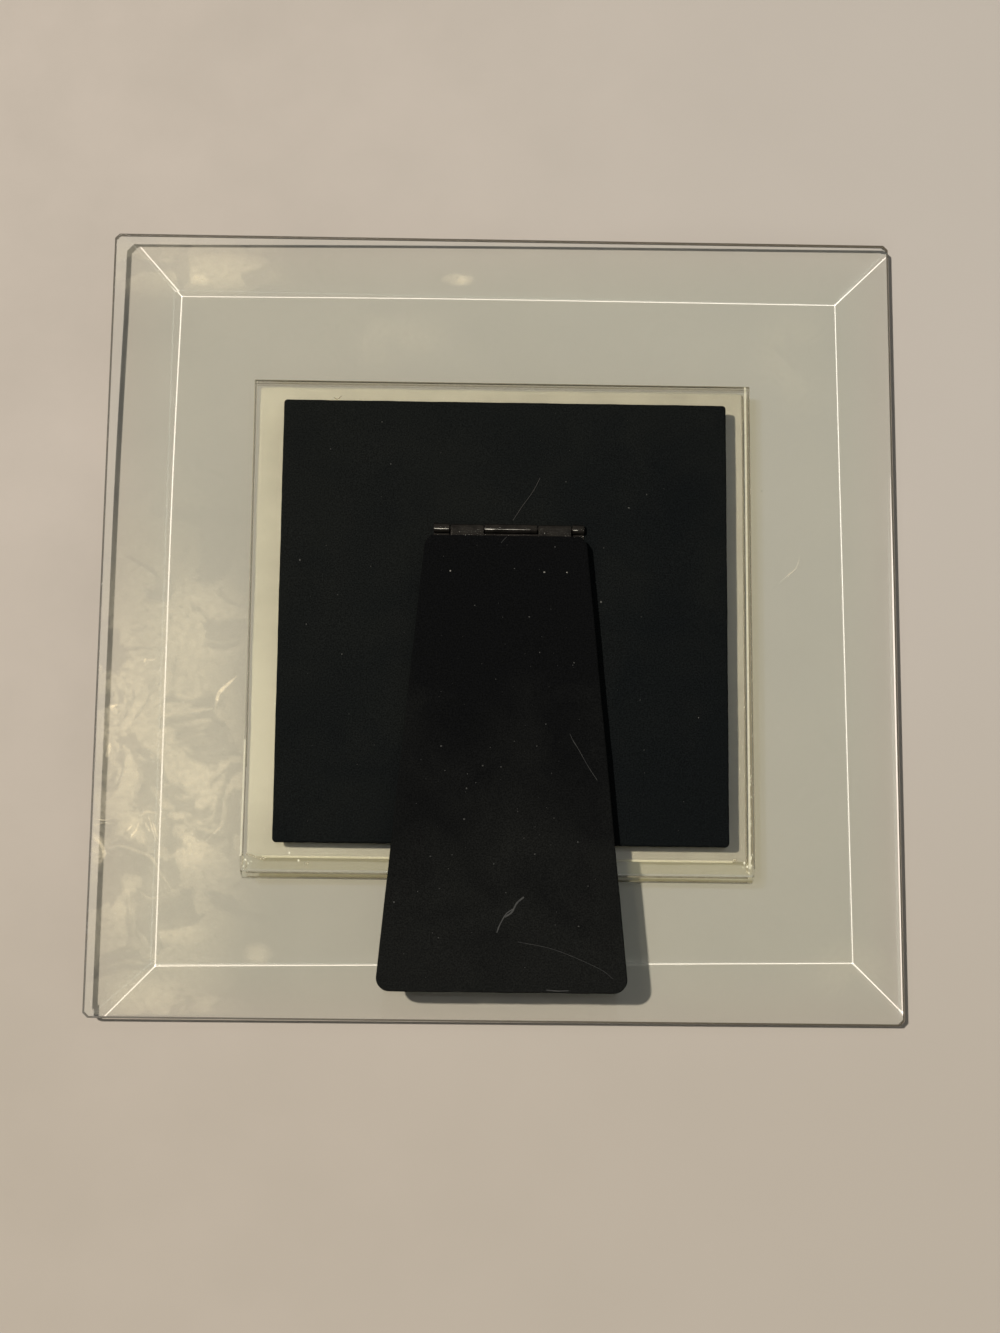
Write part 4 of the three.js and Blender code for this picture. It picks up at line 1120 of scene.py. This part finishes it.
class FRAME_OT_leg(bpy.types.Operator):
    """Make the velvet cover of the easel leg, with the lint and hairs on it"""

    bl_idname = "photo_frame.leg"
    bl_label = "Easel Leg"

    def execute(self, context):
        settings = context.scene.frame_velvet
        top = LEG_HIGH.z - COVER_HEAVE
        profile = cover_profile(LEG_LOW.z, top, settings.leg_cloth, LEG_SHOULDER)
        shell = slab(leg_corners(), LEG_RADII, profile, LEG_WAVER, COVER_WAVE, COVER_HEAVE, 70)
        cloth = velvet("black_leg_velvet", settings.leg_tone, settings.leg_worn, *LEG_WEAR)
        piece_from("leg_velvet_cover", [shell], cloth, "leg", "black_velvet", "leg_velvet", crease=70)
        end_left, end_right, _, top_right, top_left, _ = np.array(leg_corners()) / MM
        area = [(top_right[1] - 2, top_left[0] + 2, top_right[0] - 2)]
        area.append((end_left[1] + 2, end_left[0] + 3, end_right[0] - 3))
        lint("leg", "leg", "46443f", LEG_LINT, top + LINT_RISE, *LEG_FINE_LINT, area)
        lit_patch = grained("pale_hair", linear("1e1d1b"), linear("3a3833"), 1.5 * MM, {"Roughness": 0.8})
        strands = hairs(LEG_HAIRS, top + LEG_HAIR_RISE, LEG_HAIR_THICK)
        piece_from("leg_hairs", strands, lit_patch, "leg", "black_velvet")
        return {"FINISHED"}


# Stage

LAMP_DIRECTION = np.array([-0.37, 0.07, 1.0])  # from the plate to the lamp, by the photo's shadows
FILL_DIRECTION = np.array([0.2, -0.35, 1])
TABLE_SLOPE = 0.0132  # the tabletop falls away from the plate's right ridge to the left
TABLE_DIP = 2.2 * MM  # and a little more under the plate's upper left corner
DIP_WIDTH, DIP_LENGTH = 60 * MM, 45 * MM
TABLE_GAP = 0.05 * MM  # between the tabletop and the plate's face
CAMERA_PLACE = (-9.03 * MM, -118.33 * MM, 576.42 * MM)
CAMERA_TURN = (0.18279, -0.0184, 0.0098)
CAMERA_LENS = 61.73  # for a sensor 36 wide, from the photo's perspective


def ridge_x():
    """Where the right bevel's ridge is, from the plate's own mesh: its flat front face ends there."""
    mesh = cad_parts["glass_plate"].data
    points = np.empty(len(mesh.vertices) * 3, np.float32)
    mesh.vertices.foreach_get("co", points)
    x, _, z = points.reshape(-1, 3).T
    return float(np.round(x[z < 0.1 * MM].max(), 6))


class StageSettings(bpy.types.PropertyGroup):
    """The table, the lamp and the light of the room."""

    table_tone: colour("Table", "Colour of the tabletop", "c3b6a9")
    table_shade: colour("Table, shaded", "Darker mottling of the tabletop", "baaea1")
    table_right: colour("Table, right", "The tabletop's tone to the right", "bdb3a8")
    # Painted shade: the tabletop is painted darker towards the viewer, where the lamp's light falls off
    table_near_shade: colour("Table, near", "The tabletop's tone towards the viewer", "b0a392")
    backdrop: colour("Backdrop", "Colour behind the table", "e2dfd8")
    mirrored: colour("Mirrored room", "Colour that glass and metal mirror", "9b9d9c")
    lamp: colour("Lamp", "Colour of the lamp", "fffdf8")
    fill: colour("Fill light", "Colour of the soft light overhead", "f4fafc")
    lamp_power: number("Lamp power", "Power of the lamp", 230.0, 0.0, 2000.0, unit="POWER")
    fill_power: number("Fill power", "Power of the soft light", 12.0, 0.0, 500.0, unit="POWER")
    lamp_distance: length("Lamp distance", "From the plate to the lamp", 5000, 200, 9000)
    lamp_size: length("Lamp size", "Diameter of the lamp", 140, 5, 1000)
    fill_height: length("Fill height", "From the plate to the soft light", 1500, 200, 5000)
    fill_size: length("Fill size", "Diameter of the soft light", 3400, 100, 9000)


class FRAME_OT_stage(bpy.types.Operator):
    """Make the tabletop, the lamp, the room's light and the camera"""

    bl_idname = "photo_frame.stage"
    bl_label = "Stage"

    def execute(self, context):
        settings = context.scene.frame_stage
        scene = context.scene
        scene.view_settings.view_transform = "Standard"
        scene.cycles.transparent_max_bounces = 32
        scene.cycles.max_bounces = 24
        scene.cycles.transmission_bounces = 24
        # Light reaches what lies under the glass as lamp light past it, not by chance bounces
        scene.cycles.caustics_reflective = False
        scene.cycles.caustics_refractive = False
        self.tabletop(settings)
        # A small round lamp, which gives the photo's clear-edged shadows, and a soft wide light
        place = unit(LAMP_DIRECTION) * settings.lamp_distance
        self.light("lamp", settings.lamp, settings.lamp_power, settings.lamp_size, place)
        place = FILL_DIRECTION * settings.fill_height
        self.light("fill", settings.fill, settings.fill_power, settings.fill_size, place)
        self.room(scene, settings)
        camera = bpy.data.objects.new("camera", bpy.data.cameras.new("camera"))
        scene.collection.objects.link(camera)
        camera.location = CAMERA_PLACE
        camera.rotation_euler = CAMERA_TURN
        camera.data.sensor_width = 36
        camera.data.lens = CAMERA_LENS
        camera.data.clip_start = 10 * MM
        scene.camera = camera
        return {"FINISHED"}

    def tabletop(self, settings):
        """A wide top that meets the plate's front face along the right ridge. It falls away evenly
        to the left, and by a soft round dip under the plate's upper left corner."""
        reach = np.concatenate([[-1.6, -0.8], np.linspace(-0.3, 0.3, 61), [0.8, 1.6]])
        x, y = np.meshgrid(reach, reach, indexing="ij")
        away = ((x - PLATE_LOW.x) / DIP_WIDTH) ** 2 + ((y - PLATE_HIGH.y) / DIP_LENGTH) ** 2
        z = -TABLE_GAP + TABLE_SLOPE * (x - ridge_x()) - TABLE_DIP * np.exp(-away)
        mesh = bpy.data.meshes.new("tabletop")
        points = np.stack([x, y, z], -1).reshape(-1, 3)
        mesh.from_pydata(points.tolist(), [], grid_faces(len(reach), len(reach)).tolist())
        mesh.shade_smooth()
        mesh.materials.append(self.table_finish(settings))
        table = bpy.data.objects.new("tabletop", mesh)
        bpy.context.scene.collection.objects.link(table)

    def table_finish(self, settings):
        """A matt beige top, softly mottled and greyer to the right, with painted shade that darkens it
        towards the viewer.
        """
        material, tree = started("matt_tabletop")
        place = add(tree, "TexCoord").outputs["Object"]
        grain = {"Scale": 1 / (45 * MM), "Detail": 6.0, "Roughness": 0.6}
        mottle = add(tree, "TexNoise", {"Vector": place, **grain})
        share = add(tree, "MapRange", [mottle, 0.3, 0.7])
        tones = {MIX_FACTOR: share, MIX_A: settings.table_tone, MIX_B: settings.table_shade}
        colour = add(tree, "Mix", tones, data_type="RGBA")
        axes = add(tree, "SeparateXYZ", {"Vector": place}).outputs
        for axis, start, end, most, tone in (
            ("X", -120, 140, 0.85, settings.table_right),
            # Painted shade: darker towards the viewer, as the lamp's light falls off
            ("Y", 60, -150, 0.5, settings.table_near_shade),
        ):
            ends = [start * MM, end * MM, 0.0, most]
            rise = add(tree, "MapRange", [axes[axis], *ends], interpolation_type="SMOOTHSTEP")
            colour = add(tree, "Mix", {MIX_FACTOR: rise, MIX_A: colour, MIX_B: tone}, data_type="RGBA")
        inputs = {"Base Color": colour, "Roughness": 0.75, "Specular IOR Level": 0.1}
        return finished(material, inputs)

    def light(self, name, colour, power, size, place):
        """A round light at a place, turned to the plate, that only lights and isn't seen."""
        light = bpy.data.lights.new(name, "AREA")
        light.shape = "DISK"
        light.size = size
        light.energy = power
        light.color = tuple(colour)[:3]
        light.cycles.use_multiple_importance_sampling = False
        holder = bpy.data.objects.new(name, light)
        holder.location = place
        toward = unit(place)
        holder.rotation_euler = (0, math.acos(toward[2]), math.atan2(toward[1], toward[0]))
        bpy.context.scene.collection.objects.link(holder)

    def room(self, scene, settings):
        """A pale backdrop where the room is seen, and a greyer room that glass and metal mirror.
        It gives no light of its own: the lamps do that."""
        world = bpy.data.worlds.new("room")
        scene.world = world
        world.use_nodes = True
        world.cycles.sampling_method = "NONE"
        tree = world.node_tree
        tree.nodes.clear()
        path = add(tree, "LightPath").outputs
        tones = {MIX_FACTOR: path["Is Glossy Ray"], MIX_A: settings.backdrop, MIX_B: settings.mirrored}
        colour = add(tree, "Mix", tones, data_type="RGBA")
        seen = add(tree, "Math", [path["Is Camera Ray"], path["Is Glossy Ray"]], operation="MAXIMUM")
        through = add(tree, "Math", [seen, path["Is Transmission Ray"]], operation="MAXIMUM")
        direct = add(tree, "Math", [path["Diffuse Depth"], 0.5], operation="LESS_THAN")
        strength = add(tree, "Math", [through, direct], operation="MULTIPLY")
        background = add(tree, "Background", {"Color": colour, "Strength": strength})
        add(tree, "OutputWorld", {"Surface": background})


STEPS = (FRAME_OT_plate, FRAME_OT_pocket, FRAME_OT_board, FRAME_OT_hinge, FRAME_OT_leg, FRAME_OT_stage)
SETTINGS = {
    "frame_plate": PlateSettings,
    "frame_pocket": PocketSettings,
    "frame_velvet": VelvetSettings,
    "frame_hinge": HingeSettings,
    "frame_stage": StageSettings,
}


class FRAME_PT_steps(bpy.types.Panel):
    """The steps that finish the photo frame"""

    bl_idname = "FRAME_PT_steps"
    bl_label = "Photo Frame"
    bl_space_type = "VIEW_3D"
    bl_region_type = "UI"
    bl_category = "Photo Frame"

    def draw(self, context):
        for step in STEPS:
            self.layout.operator(step.bl_idname)


def register():
    for group in SETTINGS.values():
        bpy.utils.register_class(group)
    for name, group in SETTINGS.items():
        setattr(bpy.types.Scene, name, PointerProperty(type=group))
    for step in (*STEPS, FRAME_PT_steps):
        bpy.utils.register_class(step)


def unregister():
    for step in (FRAME_PT_steps, *reversed(STEPS)):
        bpy.utils.unregister_class(step)
    for name in SETTINGS:
        delattr(bpy.types.Scene, name)
    for group in reversed(SETTINGS.values()):
        bpy.utils.unregister_class(group)


def main():
    register()
    for step in STEPS:
        module, name = step.bl_idname.split(".")
        getattr(getattr(bpy.ops, module), name)()


if __name__ == "__main__":
    main()
